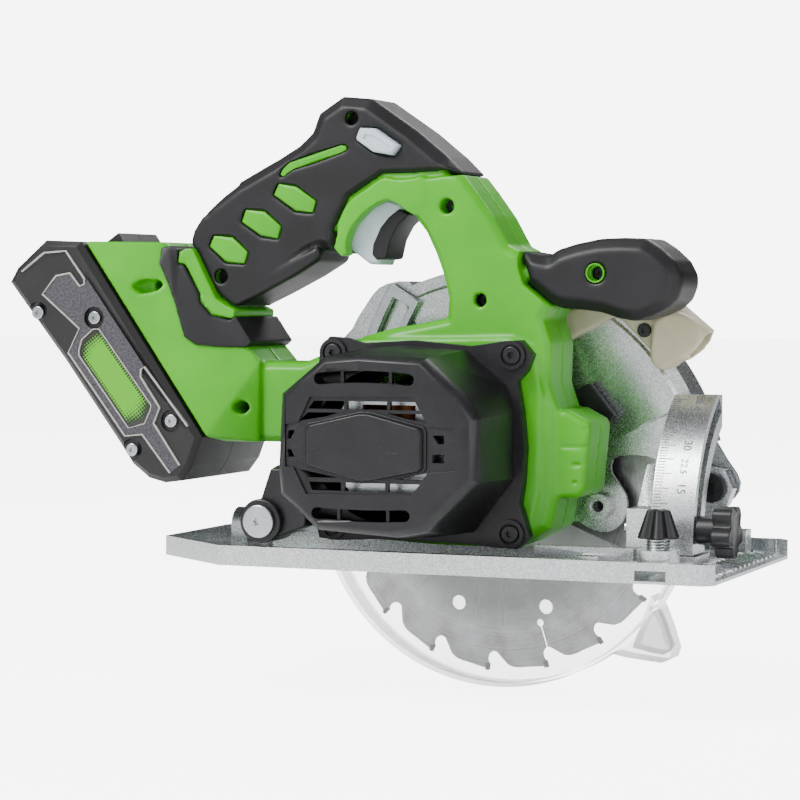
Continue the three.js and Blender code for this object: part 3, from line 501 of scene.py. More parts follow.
FENCE_X, FENCE_Y = 104.7, -12
fence_knob = lobed_knob("fence_knob", 8.9, 2.4, 12.2)
for vertex in fence_knob.data.vertices:
    rise = vertex.co.z / (12.2 * MM)
    share = 1 - 0.46 * max(0.0, (rise - 0.1) / 0.9) ** 1.2
    vertex.co.x *= share
    vertex.co.y *= share
fence_knob.data.transform(Matrix.Translation(Vector((FENCE_X, FENCE_Y, 17.6)) * MM))
finish_piece(fence_knob, "fence_knob_lobes", black_nylon, "fence_clamp", "black_plastic", "fence_clamp_knob")
stud = post("stud", "z", (FENCE_X, FENCE_Y), 2.4, 5.9, 17.8, 24)
spring = [stud]
for turn in range(4):
    let_go()
    bpy.ops.mesh.primitive_torus_add(
        major_radius=4.5 * MM, minor_radius=0.5 * MM, major_segments=40, minor_segments=10,
        location=(FENCE_X * MM, FENCE_Y * MM, (13.8 + turn * 1.25) * MM), rotation=(0.1, 0, 0),
    )
    bpy.ops.object.transform_apply(location=True, rotation=True, scale=True)
    smooth_faces(bpy.context.object, 60)
    spring.append(bpy.context.object)
finish_piece(one_mesh("spring", spring), "fence_knob_spring", zinc_steel, "fence_clamp", "steel")

bevel_knob = lobed_knob("bevel_knob", 11.6, 3.4, 8.5)
bevel_knob.data.transform(Matrix.Rotation(pi / 2, 4, "Y"))
bevel_knob.data.transform(Matrix.Translation(Vector((122.5, 15.04, 19.2)) * MM))
neck = post("neck", "x", (15.04, 19.2), 6.1, 114.4, 123)
round_edges(neck, 0.6)
bevel_knob = one_mesh("bevel_knob", [bevel_knob, neck])
finish_piece(bevel_knob, "bevel_knob_lobes", black_nylon, "bevel_clamp", "black_plastic", "bevel_knob")
bolt = post("bolt", "x", (15.04, 19.2), 2.9, 82.2, 115, 24)
round_edges(bolt, 0.4)
finish_piece(bolt, "bevel_bolt", zinc_steel, "bevel_clamp", "steel")

# ---- nose pivot screw ----------------------------------------------------------------------------------
# A black domed shoulder screw that the whole saw unit swings on; its head has a six-lobed socket.


def socket_screw(name, x, z, radius, face, depth, socket):
    """A domed screw head looking towards the motor side, with a six-sided socket sunk in it."""
    head = post(name, "y", (x, z), radius, face, face + depth, 40)
    round_edges(head, min(0.35 * depth, 0.18 * radius), 3)
    star = post("socket", "y", (x, z), socket, face - 1, face + 0.6 * depth, 12)
    for vertex in star.data.vertices:
        turn = atan2(vertex.co.z - z * MM, vertex.co.x - x * MM)
        share = 1 if round(turn / (pi / 6)) % 2 == 0 else 0.72
        vertex.co.x = x * MM + (vertex.co.x - x * MM) * share
        vertex.co.z = z * MM + (vertex.co.z - z * MM) * share
    combine(head, star, "DIFFERENCE")
    return head


pivot_head = socket_screw("pivot_head", 112.5, 35.3, 6.4, 41, 2.6, 2.6)
shank = post("shank", "y", (112.5, 35.3), 3.4, 43.5, 59.8, 24)
round_edges(shank, 0.4)
pivot = one_mesh("pivot", [pivot_head, shank])
finish_piece(pivot, "nose_pivot_screw", black_nylon, "tilt_frame", "steel", "depth_pivot_screw")

# ---- housing -------------------------------------------------------------------------------------------
# Two clamshell halves moulded in glass-filled nylon: the motor drum, the column and bridge that carry the grip,
# and the foot that the battery slides on. Screws sit deep in round wells on the motor side.

# Green nylon, moulded: an even, lively green with a satin spark-eroded grain.
green_nylon, tree, place = start_material("green_glass_filled_nylon")
grain = add_node(tree, "ShaderNodeTexNoise", {"Scale": 1 / (0.6 * MM), "Detail": 3.0}, {"Vector": place})
cloud = add_node(tree, "ShaderNodeTexNoise", {"Scale": 1 / (35 * MM), "Detail": 3.0}, {"Vector": place})
tone = add_node(tree, "ShaderNodeValToRGB", links={"Fac": cloud.outputs["Fac"]})
tone.color_ramp.elements[0].color = linear("#3FA400")
tone.color_ramp.elements[0].position = 0.3
tone.color_ramp.elements[1].color = linear("#4CB402")
tone.color_ramp.elements[1].position = 0.7
gloss = add_node(tree, "ShaderNodeMapRange", {"To Min": 0.34, "To Max": 0.46}, {"Value": cloud.outputs["Fac"]})
bump = add_node(tree, "ShaderNodeBump", {"Strength": 0.18, "Distance": 0.05 * MM}, {"Height": grain.outputs["Fac"]})
close_material(tree, add_node(
    tree, "ShaderNodeBsdfPrincipled", {"IOR": 1.5},
    {"Base Color": tone.outputs["Color"], "Roughness": gloss.outputs["Result"], "Normal": bump.outputs["Normal"]},
))

near_half = raw_copy("housing_right")
WELLS = [
    (3.2, 156.6, 3.4, 4), (18.7, 116, 3.0, 4), (-91.2, 67.8, 3.0, -14), (-104.8, 126, 4.6, 4), (-41.7, 195.5, 4.4, 4),
    (70.5, 127.8, 2.9, 4), (-132.6, 121.6, 2.4, -14),
]
for x, z, radius, start in WELLS:
    combine(near_half, post("well", "y", (x, z), radius, start, 14.5, 32), "DIFFERENCE")
LONG_WELL = [(-142.8, 121.4), (-140.6, 123.4), (-137.6, 124.5), (-130.7, 124.1), (-129, 121.8), (-131.4, 119.4), (-138.9, 117.9)]
combine(near_half, plate("long_well", LONG_WELL, -14, 0.2), "DIFFERENCE")
ARCH_OUTER = [
    (-49.6, 138.4), (-48.2, 143.9), (-48.2, 148.6), (-44.7, 155.9), (-40.7, 160.5), (-34.7, 164.1), (-27.8, 168.7),
    (-24.8, 169.3), (-20.4, 168.1), (-16.9, 167.8), (-8.1, 169.8), (-6, 160),
]
ARCH_INNER = [
    (-10.4, 152), (-15.9, 154.8), (-19.3, 157.6), (-23.8, 159.3), (-27.7, 158.8), (-32.2, 156.3), (-36.7, 152.7),
    (-40.7, 148.5), (-43.1, 143.5), (-43.8, 139.3), (-43.1, 135.4),
]
combine(near_half, plate("arch", ARCH_OUTER + ARCH_INNER + [(-46.4, 134.8)], 5.1, 13), "UNION")
combine(near_half, plate("throat", ARCH_INNER + [(-30, 138)], 3, 30), "DIFFERENCE")
for level in (38.5, 46, 53.5, 61):
    groove = bar("groove", (60, 5, level - 0.7), (70, 44, level + 0.7))
    groove.data.transform(about(64, 24, level, "Y", -6))
    cheek = bar("cheek", (54, 6, level - 0.7), (69, 9.2, level + 0.7))
    combine(near_half, groove, "DIFFERENCE")
    combine(near_half, cheek, "DIFFERENCE")
moulded_copy(near_half, 0.85, 5)
finish_piece(near_half, "housing_near_half", green_nylon, "saw_unit", "green_plastic", "housing_right")
far_half = raw_copy("housing_left")
combine(far_half, plate("arch", ARCH_OUTER + ARCH_INNER + [(-46.4, 134.8)], 35, 42.9), "UNION")
combine(far_half, plate("throat", ARCH_INNER + [(-30, 138)], 20, 45), "DIFFERENCE")
moulded_copy(far_half, 0.95, 5)
finish_piece(far_half, "housing_far_half", green_nylon, "saw_unit", "green_plastic", "housing_left")

# Each well ends in a screw; drawing the screws black also paints the shade at the bottom of the deep wells.
well_screws = [socket_screw("well_screw", x, z, radius + 0.5, 13.6, 2.4, 1.2) for x, z, radius, _ in WELLS]
finish_piece(one_mesh("well_screws", well_screws), "housing_screws", black_nylon, "saw_unit", "steel")

# ---- rubber grip ---------------------------------------------------------------------------------------
# Soft thermoplastic rubber moulded over the handle core: the grip, the boot where it meets the foot and the
# pommel in front. The green nylon shows through three hexagonal windows and a strip under the thumb.

# Overmoulded rubber: charcoal with a violet cast, matt, with a fine leathery grain and greyer rubbed places.
soft_rubber, tree, place = start_material("overmoulded_rubber")
grain = add_node(tree, "ShaderNodeTexNoise", {"Scale": 1 / (0.8 * MM), "Detail": 4.0}, {"Vector": place})
cloud = add_node(tree, "ShaderNodeTexNoise", {"Scale": 1 / (22 * MM), "Detail": 4.0}, {"Vector": place})
tone = add_node(tree, "ShaderNodeValToRGB", links={"Fac": cloud.outputs["Fac"]})
tone.color_ramp.elements[0].color = linear("#0C0B0D")
tone.color_ramp.elements[0].position = 0.3
tone.color_ramp.elements[1].color = linear("#18161A")
tone.color_ramp.elements[1].position = 0.75
gloss = add_node(tree, "ShaderNodeMapRange", {"To Min": 0.4, "To Max": 0.56}, {"Value": cloud.outputs["Fac"]})
bump = add_node(tree, "ShaderNodeBump", {"Strength": 0.3, "Distance": 0.08 * MM}, {"Height": grain.outputs["Fac"]})
close_material(tree, add_node(
    tree, "ShaderNodeBsdfPrincipled", {"IOR": 1.5, "Specular IOR Level": 0.45},
    {"Base Color": tone.outputs["Color"], "Roughness": gloss.outputs["Result"], "Normal": bump.outputs["Normal"]},
))

HEXES = [
    [(-76.3, 166.9), (-68.3, 165.5), (-58.9, 159.3), (-60.3, 154.4), (-68.3, 155.4), (-78.7, 162.1)],
    [(-92.4, 155.5), (-83.6, 154.6), (-75.8, 148.3), (-77.2, 143), (-85, 144.4), (-94.3, 150.2)],
    [(-108.1, 144), (-99.2, 143.1), (-91.9, 136.8), (-93.6, 131.9), (-102.2, 132.8), (-110.1, 139.3)],
]
STRIP = [
    (-75.6, 171.2), (-74.4, 173.4), (-71.4, 176.2), (-60.5, 179.4), (-46.5, 183.6), (-44.4, 183.2), (-44.2, 181.6),
    (-46, 180.6), (-59.6, 176.4), (-69, 173.6), (-72.6, 171.4), (-74.2, 170.2),
]


def spread(outline, amount):
    """An outline moved outwards from its middle by some millimetres."""
    mid_x = sum(x for x, _ in outline) / len(outline)
    mid_z = sum(z for _, z in outline) / len(outline)
    moved = []
    for x, z in outline:
        reach = hypot(x - mid_x, z - mid_z)
        moved.append((x + (x - mid_x) / reach * amount, z + (z - mid_z) / reach * amount))
    return moved


TAIL = [
    (-108, 156), (-114.5, 152.5), (-118.6, 146.5), (-120.4, 140.5), (-116.4, 136.3), (-111.3, 126.4), (-107, 118.8),
    (-102.8, 115), (-97.5, 111.7), (-94.5, 113.6), (-84.5, 118.2), (-68, 126.5), (-56.5, 133.4), (-57, 140), (-84, 128),
    (-98, 140), (-104, 154),
]
CORE = [
    (-118, 132), (-116.4, 140), (-114.6, 147), (-108, 154), (-97, 163.4), (-72, 163), (-66, 140), (-84.7, 123.6),
    (-94, 119.4), (-97, 112), (-104, 106),
]
tail = plate("tail", TAIL, 5.6, 42.4)
round_edges(tail, 3.5, 3)
combine(tail, plate("tail_room", CORE, 8.6, 39.4), "DIFFERENCE")
grip = raw_copy("grip_overmould")
combine(grip, tail, "UNION")
combine(grip, plate("heel_trim", [
    (-120.6, 140.4), (-118.9, 146.6), (-114.6, 152.6), (-109.9, 157), (-104.6, 161.8), (-97.5, 166.8), (-100, 174),
    (-128, 164), (-128, 140),
], -5, 50), "DIFFERENCE")
for outline in (*HEXES, STRIP):
    combine(grip, plate("window", spread(outline, 0.9), 3, 8.6), "DIFFERENCE")
    combine(grip, plate("window", spread(outline, 0.9), 39.4, 45), "DIFFERENCE")
combine(grip, post("well", "y", (-104.8, 126), 3.2, 3, 10, 32), "DIFFERENCE")
combine(grip, post("well", "y", (-41.7, 195.5), 3.0, 3, 10, 32), "DIFFERENCE")
moulded_copy(grip, 0.6, 16)
finish_piece(grip, "grip_rubber", soft_rubber, "saw_unit", "rubber", "grip_overmould")

windows = []
for outline in (*HEXES, STRIP):
    for near, far, crown in ((8.9, 6.2, 5.6), (39.1, 41.8, 42.4)):
        pad = layered("pad", [(near, spread(outline, 0.5)), (far, spread(outline, 0.2)), (crown, spread(outline, -1.0))])
        round_edges(pad, 0.35)
        windows.append(pad)
finish_piece(one_mesh("pads", windows), "grip_green_windows", green_nylon, "saw_unit", "green_plastic")



def foot_face(x, z):
    """How far towards the motor side, as a y in millimetres, the sloping side of the foot stands."""
    return max(-11 + 0.323 * (x + 164.6) + 0.225 * (z - 141.5), -11 + 0.419 * (x + 164.6) + 0.37 * (z - 141.5))


def over_foot(piece, reach, lift):
    """Moves a plate's two sides out until they stand proud of the foot, or at least at y = reach."""
    for vertex in piece.data.vertices:
        near = min(reach, foot_face(vertex.co.x / MM, vertex.co.z / MM) - lift)
        vertex.co.y = (near if vertex.co.y < 24 * MM else 48 - near) * MM


COLLAR = [
    (-123.9, 136.9), (-120.8, 138.4), (-117.4, 138.5), (-116.2, 136.6), (-113.6, 131.4), (-108.9, 122.4), (-105.6, 116.1),
    (-100.6, 112.9), (-96.1, 111), (-96.6, 107.8), (-98.5, 107), (-106.3, 109.1), (-112.1, 115.2), (-112.4, 118.4),
    (-120.8, 131.4), (-123.6, 131.7),
]
collar = plate("collar", COLLAR, 2.4, 45.6)
over_foot(collar, 2.4, 1.4)
moulded_copy(collar, 0.6, 5)
finish_piece(collar, "grip_green_collar", green_nylon, "saw_unit", "green_plastic")

BOOT = [
    (-131.9, 138.8), (-127.5, 139.7), (-124.1, 138.2), (-124.2, 134.9), (-123.7, 131.3), (-121, 130.9), (-112.8, 118),
    (-112.5, 115), (-106.6, 108.6), (-98.3, 106.5), (-95.2, 108.2), (-87.3, 96.9), (-90.2, 94.3), (-100.8, 94.4),
    (-111.6, 95.4), (-117.1, 98.9), (-122.4, 113.5), (-126.3, 121.9), (-131.6, 131.7),
]
boot = plate("boot", BOOT, 1.2, 46.8)
over_foot(boot, 1.2, 1.6)
moulded_copy(boot, 0.6, 9)
finish_piece(boot, "boot_rubber", soft_rubber, "saw_unit", "rubber", "boot_overmould")

pommel = raw_copy("front_handle_overmould")
combine(pommel, post("well", "y", (70.5, 127.8), 4.3, 3, 11, 32), "DIFFERENCE")
moulded_copy(pommel, 0.65, 34)
finish_piece(pommel, "pommel_rubber", soft_rubber, "saw_unit", "rubber", "front_handle_overmould")
ring = post("ring", "y", (70.5, 127.8), 4.2, 6.0, 12, 32)
combine(ring, post("bore", "y", (70.5, 127.8), 3.5, 3, 14, 32), "DIFFERENCE")
round_edges(ring, 0.3)
finish_piece(ring, "pommel_well_ring", green_nylon, "saw_unit", "green_plastic")

# ---- trigger and lock-off ------------------------------------------------------------------------------
# Both are moulded in pale blue-grey acetal. The trigger hooks round the finger, and the lock-off button is a
# hexagonal bar that passes through the handle from side to side.

# Acetal: a pale, waxy blue-grey plastic with a smooth soft shine.
pale_acetal, tree, place = start_material("pale_acetal")
cloud = add_node(tree, "ShaderNodeTexNoise", {"Scale": 1 / (8 * MM), "Detail": 3.0}, {"Vector": place})
tone = add_node(tree, "ShaderNodeValToRGB", links={"Fac": cloud.outputs["Fac"]})
tone.color_ramp.elements[0].color = linear("#BAC9D2")
tone.color_ramp.elements[1].color = linear("#D9E4EA")
bump = add_node(tree, "ShaderNodeBump", {"Strength": 0.08, "Distance": 0.05 * MM}, {"Height": cloud.outputs["Fac"]})
close_material(tree, add_node(
    tree, "ShaderNodeBsdfPrincipled",
    {"Roughness": 0.36, "IOR": 1.48, "Subsurface Weight": 0.08, "Subsurface Scale": 1.5 * MM},
    {"Base Color": tone.outputs["Color"], "Normal": bump.outputs["Normal"]},
))

trigger = moulded_copy(raw_copy("trigger"), 0.45, 8)
finish_piece(trigger, "trigger_lever", pale_acetal, "trigger", "pale_plastic", "trigger")
# A dark rubber plate lies on the trigger's concave front face and makes that face dark.
pad = plate("pad", [
    (-22, 156), (-17.4, 153.4), (-22.8, 148.4), (-26.2, 142.2), (-28.1, 134), (-32.9, 133.4), (-34.9, 135.7),
    (-34.4, 140.3), (-30.9, 147.7), (-27, 152.3),
], 13.5, 34.5)
round_edges(pad, 0.9, 4)
finish_piece(pad, "trigger_front_dark_plate", soft_rubber, "trigger", "rubber")

button = raw_copy("lock_off_button")
round_edges(button, 0.9, 3)
dish = layered("dish", [
    (0, [(-35.5, 186.4), (-34.4, 188.9), (-30, 188.4), (-20.6, 182.6), (-22.5, 180.9), (-30, 182.2)]),
    (3.0, [(-34.6, 186.4), (-33.8, 188), (-30, 187.4), (-22.4, 182.6), (-23.2, 181.8), (-30, 183)]),
])
combine(button, dish, "DIFFERENCE")
finish_piece(button, "lock_off_bar", pale_acetal, "lock_off", "pale_plastic", "lock_off_button")

# ---- motor end cover -----------------------------------------------------------------------------------
# A scuffed black nylon cup over the motor's brush end: a scooped flange with four ears, an eight-sided rim, a
# sunk grille with long vents, and a raised shield-shaped plaque in the middle. An arm at the back carries a bolt.

# Scuffed black nylon: violet-black with pale rubbed clouds, fine scratches and a dusty bloom.
scuffed_nylon, tree, place = start_material("scuffed_black_nylon")
grain = add_node(tree, "ShaderNodeTexNoise", {"Scale": 1 / (0.7 * MM), "Detail": 3.0}, {"Vector": place})
rub = add_node(
    tree, "ShaderNodeTexNoise", {"Scale": 1 / (11 * MM), "Detail": 7.0, "Roughness": 0.65}, {"Vector": place},
)
lay = add_node(tree, "ShaderNodeMapping", {"Rotation": (0.0, 0.6, 0.0), "Scale": (1.0, 1.0, 9.0)}, {"Vector": place})
scratch = add_node(
    tree, "ShaderNodeTexNoise", {"Scale": 1 / (5 * MM), "Detail": 6.0, "Roughness": 0.7},
    {"Vector": lay.outputs["Vector"]},
)
tone = add_node(tree, "ShaderNodeValToRGB", links={"Fac": rub.outputs["Fac"]})
tone.color_ramp.elements[0].color = linear("#0A090C")
tone.color_ramp.elements[0].position = 0.35
tone.color_ramp.elements[1].color = linear("#17151A")
tone.color_ramp.elements[1].position = 0.7
line = add_node(tree, "ShaderNodeValToRGB", links={"Fac": scratch.outputs["Fac"]})
line.color_ramp.elements[0].color = (0, 0, 0, 1)
line.color_ramp.elements[0].position = 0.62
line.color_ramp.elements[1].color = (0.55, 0.55, 0.55, 1)
line.color_ramp.elements[1].position = 0.74
worn = add_node(
    tree, "ShaderNodeMix", {"data_type": "RGBA", 7: linear("#55535B")}, {0: line.outputs["Color"], 6: tone.outputs["Color"]},
)
gloss = add_node(tree, "ShaderNodeMapRange", {"To Min": 0.3, "To Max": 0.5}, {"Value": rub.outputs["Fac"]})
bump = add_node(tree, "ShaderNodeBump", {"Strength": 0.25, "Distance": 0.06 * MM}, {"Height": grain.outputs["Fac"]})
close_material(tree, add_node(
    tree, "ShaderNodeBsdfPrincipled", {"IOR": 1.5},
    {"Base Color": worn.outputs[2], "Roughness": gloss.outputs["Result"], "Normal": bump.outputs["Normal"]},
))

FLANGE = [
    (-52.6, 94.3), (-48, 99.8), (-41, 99.2), (-32.6, 97), (-9.2, 98.5), (17.8, 96.3), (33, 98.6), (40.4, 99.1),
    (45.8, 93), (43, 86), (38.8, 81.4), (41, 68.4), (42.6, 52.8), (41.7, 38), (40.3, 28.9), (43.5, 20),
    (44.9, 15.1), (39.3, 9.8), (30, 10), (17.8, 11.2), (-24.1, 11.7), (-44, 10.6), (-52.6, 11.4), (-54, 18),
    (-50, 30), (-48.5, 55), (-49.5, 80), (-53, 88),
]
RIM_FACE = [
    (-31.5, 91.8), (-15.4, 93.2), (13.8, 91.6), (30.8, 76.9), (37.1, 67.1), (37.3, 41.1), (14.1, 19.6),
    (0.4, 17.1), (-34.4, 19.1), (-51.2, 33.5), (-52.3, 44.1), (-50.8, 76.2),
]
RIM_FOOT = [
    (-31, 94.8), (-14, 96), (16, 94.6), (34, 80), (38.2, 68), (38.2, 40), (20, 16.5), (1, 13.6),
    (-34, 14.6), (-48, 30), (-49, 44), (-48, 78),
]
GRILLE = [
    (-36.8, 75.3), (8.7, 76.1), (16.4, 64), (28.6, 63.5), (28.7, 45.7), (16.5, 44.5), (8.8, 35.2),
    (-38.4, 34.1), (-44.2, 45.2), (-48.1, 45.5), (-48.2, 63.4), (-42, 64.7),
]
PLAQUE = [
    (-38.9, 61.7), (-37.2, 63.7), (-14.1, 68.9), (-9.8, 69), (13.7, 63.3), (14.6, 61.3), (14.6, 46.3),
    (13, 44.6), (-9.7, 40), (-14, 39.8), (-37.6, 46), (-38.9, 47.6),
]


def middle_of(outline):
    """The middle of an outline."""
    return sum(x for x, _ in outline) / len(outline), sum(z for _, z in outline) / len(outline)


def drawn_in(outline, share):
    """An outline made larger or smaller about its middle."""
    mid_x, mid_z = middle_of(outline)
    return [(mid_x + (x - mid_x) * share, mid_z + (z - mid_z) * share) for x, z in outline]


cup = layered("cup", [
    (1.5, RIM_FOOT), (-6, RIM_FOOT), (-43.6, drawn_in(RIM_FACE, 1.012)), (-46.6, drawn_in(RIM_FACE, 1.0)),
    (-49.4, drawn_in(RIM_FACE, 0.95)), (-49.9, drawn_in(RIM_FACE, 0.93)),
])
cavity = post("cavity", "y", (-6, 55), 33, -45.8, 6, 48)
combine(cup, cavity, "DIFFERENCE")
combine(cup, plate("grille_sink", GRILLE, -51, -48.6), "DIFFERENCE")
flange = plate("flange", FLANGE, 2.8, -2.8)
combine(flange, post("flange_bore", "y", (-6, 55), 32.5, -6, 6, 48), "DIFFERENCE")
combine(cup, flange, "UNION")
round_edges(cup, 0.7, 2)


def long_vent(low_x, high_x, z, half, crown):
    """A long round-ended vent, bowed upwards by a crown height."""
    reach, middle = (high_x - low_x) / 2 - half, (high_x + low_x) / 2
    points = []
    for side in (1, -1):
        for step in range(9):
            share = side * (1 - step / 4)
            points.append((middle + reach * share, z + crown * (1 - share ** 2) + side * half))
        for step in range(1, 6):
            turn = pi / 6 * step
            points.append((middle - side * (reach + half * sin(turn)), z + side * half * cos(turn)))
    return points


VENTS = [
    long_vent(-35, 10.2, 83, 2.5, 1.0), long_vent(-36, 8.6, 26.3, 2.5, -0.6),
    [(-35.4, 73.6), (10.8, 73.8), (12.9, 70.2), (-38.1, 70.2)],
    [(-38.1, 68.6), (-24, 68.8), (-30, 67), (-42, 65)],
    [(-2, 68.8), (13.6, 68.9), (15.9, 65), (6, 66.8)],
    [(-42, 44.6), (-28, 42), (-24, 41.4), (-38.9, 41.2)],
    [(1.1, 41.5), (6, 42.4), (15.6, 44.4), (14.1, 41.2)],
    [(-37.6, 39.4), (13, 39.6), (9.7, 35.9), (-36.2, 35.9)],
    [(18.1, 60.1), (23.2, 60.2), (23.2, 56.6), (20.6, 56.5)], [(18.1, 52.1), (23.2, 52.3), (23.2, 48.7), (18.1, 48.6)],
    [(-48, 60.9), (-44.2, 61), (-46, 57.3), (-48, 57.3)], [(-48, 52.8), (-46, 52.9), (-44.2, 49.7), (-48, 49.6)],
]
for outline in VENTS:
    combine(cup, plate("vent", outline, -56, -40), "DIFFERENCE")
for x, z in ((-46, 92.8), (36.6, 92.6), (36.4, 16.2), (-46, 17)):
    ear = post("ear", "y", (x, z), 6.2, -4.2, -2, 32)
    combine(cup, ear, "UNION")
    combine(cup, post("ear_well", "y", (x, z), 4.6, -8, -2.9, 32), "DIFFERENCE")
smooth_faces(cup, 32)

parts = [cup]
for z0, z1, xs in ((80.6, 86.6, (-23, -1.2)), (69.6, 74.4, (-21.5, -2)), (35.4, 40.2, (-22.7, -2.7)), (23.4, 28.4, (-24.4, -2.2))):
    for x in xs:
        parts.append(bar("vent_rib", (x - 0.7, -47.6, z0), (x + 0.7, -45.5, z1)))
arm = layered("arm", [
    (-14.5, [(-44, 50), (-50, 45.5), (-63.4, 43.4), (-67.5, 44), (-71.6, 29), (-78.5, 25), (-80, 18), (-76, 11.2), (-64, 12), (-50, 18)]),
    (-25.4, [(-44, 50), (-50, 45.5), (-62.4, 42.8), (-66, 42.6), (-70.8, 29), (-77.8, 24.6), (-79, 18), (-75.4, 12), (-64, 12.6), (-50, 18)]),
])
round_edges(arm, 1.0, 3)
hub = post("hub", "y", (-69.5, 20), 9.6, -28.8, -8.5, 48)
round_edges(hub, 1.0, 3)
parts += [arm, hub]
cover = one_mesh("cover", parts)
finish_piece(cover, "motor_end_cup", scuffed_nylon, "saw_unit", "black_plastic", "motor_end_cover")

plaque = layered("plaque", [
    (-47.2, drawn_in(PLAQUE, 0.99)), (-50.4, drawn_in(PLAQUE, 0.99)), (-52.0, drawn_in(PLAQUE, 0.95)),
])
border = layered("border", [(-47.4, drawn_in(PLAQUE, 1.035)), (-49.6, drawn_in(PLAQUE, 1.035))])
round_edges(plaque, 0.5, 3)
round_edges(border, 0.4, 2)
finish_piece(one_mesh("plaque", [plaque, border]), "cover_plaque", scuffed_nylon, "saw_unit", "black_plastic",
             "cover_badge")

for number, (x, z) in enumerate(((-46, 92.8), (36.6, 92.6), (36.4, 16.2), (-46, 17)), 1):
    screw = socket_screw("screw", x, z, 3.9, -4.6, 2.4, 1.7)
    shank = post("shank", "y", (x, z), 1.9, -2.4, 13, 16)
    screw = one_mesh("screw", [screw, shank])
    finish_piece(screw, f"cover_torx_{number}", black_nylon, "saw_unit", "steel", f"cover_screw_{number}")

arm_bolt = socket_screw("arm_bolt", -69.5, 20, 7.2, -31.2, 2.2, 2.1)
arm_shank = post("shank", "y", (-69.5, 20), 2.9, -29.2, -13, 20)
finish_piece(one_mesh("arm_bolt", [arm_bolt, arm_shank]), "arm_bolt_steel", zinc_steel, "saw_unit", "steel",
             "arm_boss_screw")

# ---- battery -------------------------------------------------------------------------------------------
# A slide-on pack in two dark grey shells held by four small socket screws. Its side carries a raised panel with
# a green label and a thin pale bead round its outline, a painted highlight; a sprung latch sits in the top end.

# Battery shell: charcoal ABS and polycarbonate, satin, with a faint brown cast.
shell_plastic, tree, place = start_material("charcoal_abs_shell")
grain = add_node(tree, "ShaderNodeTexNoise", {"Scale": 1 / (0.6 * MM), "Detail": 3.0}, {"Vector": place})
cloud = add_node(tree, "ShaderNodeTexNoise", {"Scale": 1 / (18 * MM), "Detail": 4.0}, {"Vector": place})
tone = add_node(tree, "ShaderNodeValToRGB", links={"Fac": cloud.outputs["Fac"]})
tone.color_ramp.elements[0].color = linear("#0F0E0F")
tone.color_ramp.elements[1].color = linear("#1C191B")
gloss = add_node(tree, "ShaderNodeMapRange", {"To Min": 0.36, "To Max": 0.5}, {"Value": cloud.outputs["Fac"]})
bump = add_node(tree, "ShaderNodeBump", {"Strength": 0.2, "Distance": 0.05 * MM}, {"Height": grain.outputs["Fac"]})
close_material(tree, add_node(
    tree, "ShaderNodeBsdfPrincipled", {"IOR": 1.54},
    {"Base Color": tone.outputs["Color"], "Roughness": gloss.outputs["Result"], "Normal": bump.outputs["Normal"]},
))

# Panel paint: a mid grey with a coarse sparkle, as sprayed on the raised part of the shell.
panel_paint, tree, place = start_material("grey_soft_feel_paint")
fleck = add_node(tree, "ShaderNodeTexNoise", {"Scale": 1 / (0.8 * MM), "Detail": 3.0}, {"Vector": place})
tone = add_node(tree, "ShaderNodeValToRGB", links={"Fac": fleck.outputs["Fac"]})
tone.color_ramp.elements[0].color = linear("#333136")
tone.color_ramp.elements[0].position = 0.35
tone.color_ramp.elements[1].color = linear("#57555B")
tone.color_ramp.elements[1].position = 0.68
bump = add_node(tree, "ShaderNodeBump", {"Strength": 0.16, "Distance": 0.06 * MM}, {"Height": fleck.outputs["Fac"]})
close_material(tree, add_node(
    tree, "ShaderNodeBsdfPrincipled", {"Roughness": 0.48, "Metallic": 0.15},
    {"Base Color": tone.outputs["Color"], "Normal": bump.outputs["Normal"]},
))

# Painted highlight: the thin bead round the panel and the label is coloured pale grey and shiny, for the light caught
# along their edges.
highlight_bead, tree, place = start_material("painted_edge_highlight")
cloud = add_node(tree, "ShaderNodeTexNoise", {"Scale": 1 / (4 * MM)}, {"Vector": place})
tone = add_node(tree, "ShaderNodeValToRGB", links={"Fac": cloud.outputs["Fac"]})
tone.color_ramp.elements[0].color = linear("#8F8B86")
tone.color_ramp.elements[1].color = linear("#C2BEB8")
close_material(tree, add_node(
    tree, "ShaderNodeBsdfPrincipled", {"Roughness": 0.25}, {"Base Color": tone.outputs["Color"]},
))

near_shell = crisp_copy("battery_case_right", 1.5, 4)
for x, z in ((-186.6, 109.3), (-157.8, 107.2), (-119.6, 61.7), (-139, 48.4)):
    combine(near_shell, post("well", "y", (x, z), 5.0, -16, -12.6, 32), "DIFFERENCE")
smooth_faces(near_shell, 32)
finish_piece(near_shell, "battery_near_shell", shell_plastic, "battery", "battery_plastic", "battery_case_right")
finish_piece(crisp_copy("battery_case_left", 1.5, 4), "battery_far_shell", shell_plastic, "battery", "battery_plastic",
             "battery_case_left")

PANEL = [
    (-169.8, 127.4), (-176.9, 125.9), (-183.9, 117.7), (-165.1, 102.3), (-170.7, 91.4), (-142.1, 54.5),
    (-133.5, 55.4), (-119.8, 38.6), (-115.0, 42.0), (-127.9, 60.5), (-124.9, 67.5), (-134.4, 81.1),
    (-134.2, 84.4), (-132.5, 85.6), (-161.1, 124.4), (-163.2, 121.3), (-165.4, 121.3),
]
LABEL = [
    (-158.1, 101.6), (-155.1, 101.7), (-129.6, 68.9), (-129.9, 66.6), (-132.8, 60.6), (-140.6, 58.6),
    (-164.8, 89.9), (-164.9, 92.3), (-163.6, 96.9),
]
panel = plate("panel", PANEL, -13.4, -14.5)
for x, z in ((-157.8, 107.2), (-119.6, 61.7)):
    combine(panel, post("well", "y", (x, z), 5.0, -16, -12.6, 32), "DIFFERENCE")
combine(panel, plate("label_seat", spread(LABEL, 0.6), -16, -12), "DIFFERENCE")
round_edges(panel, 0.2, 2)
finish_piece(panel, "battery_side_panel", panel_paint, "battery", "battery_plastic")


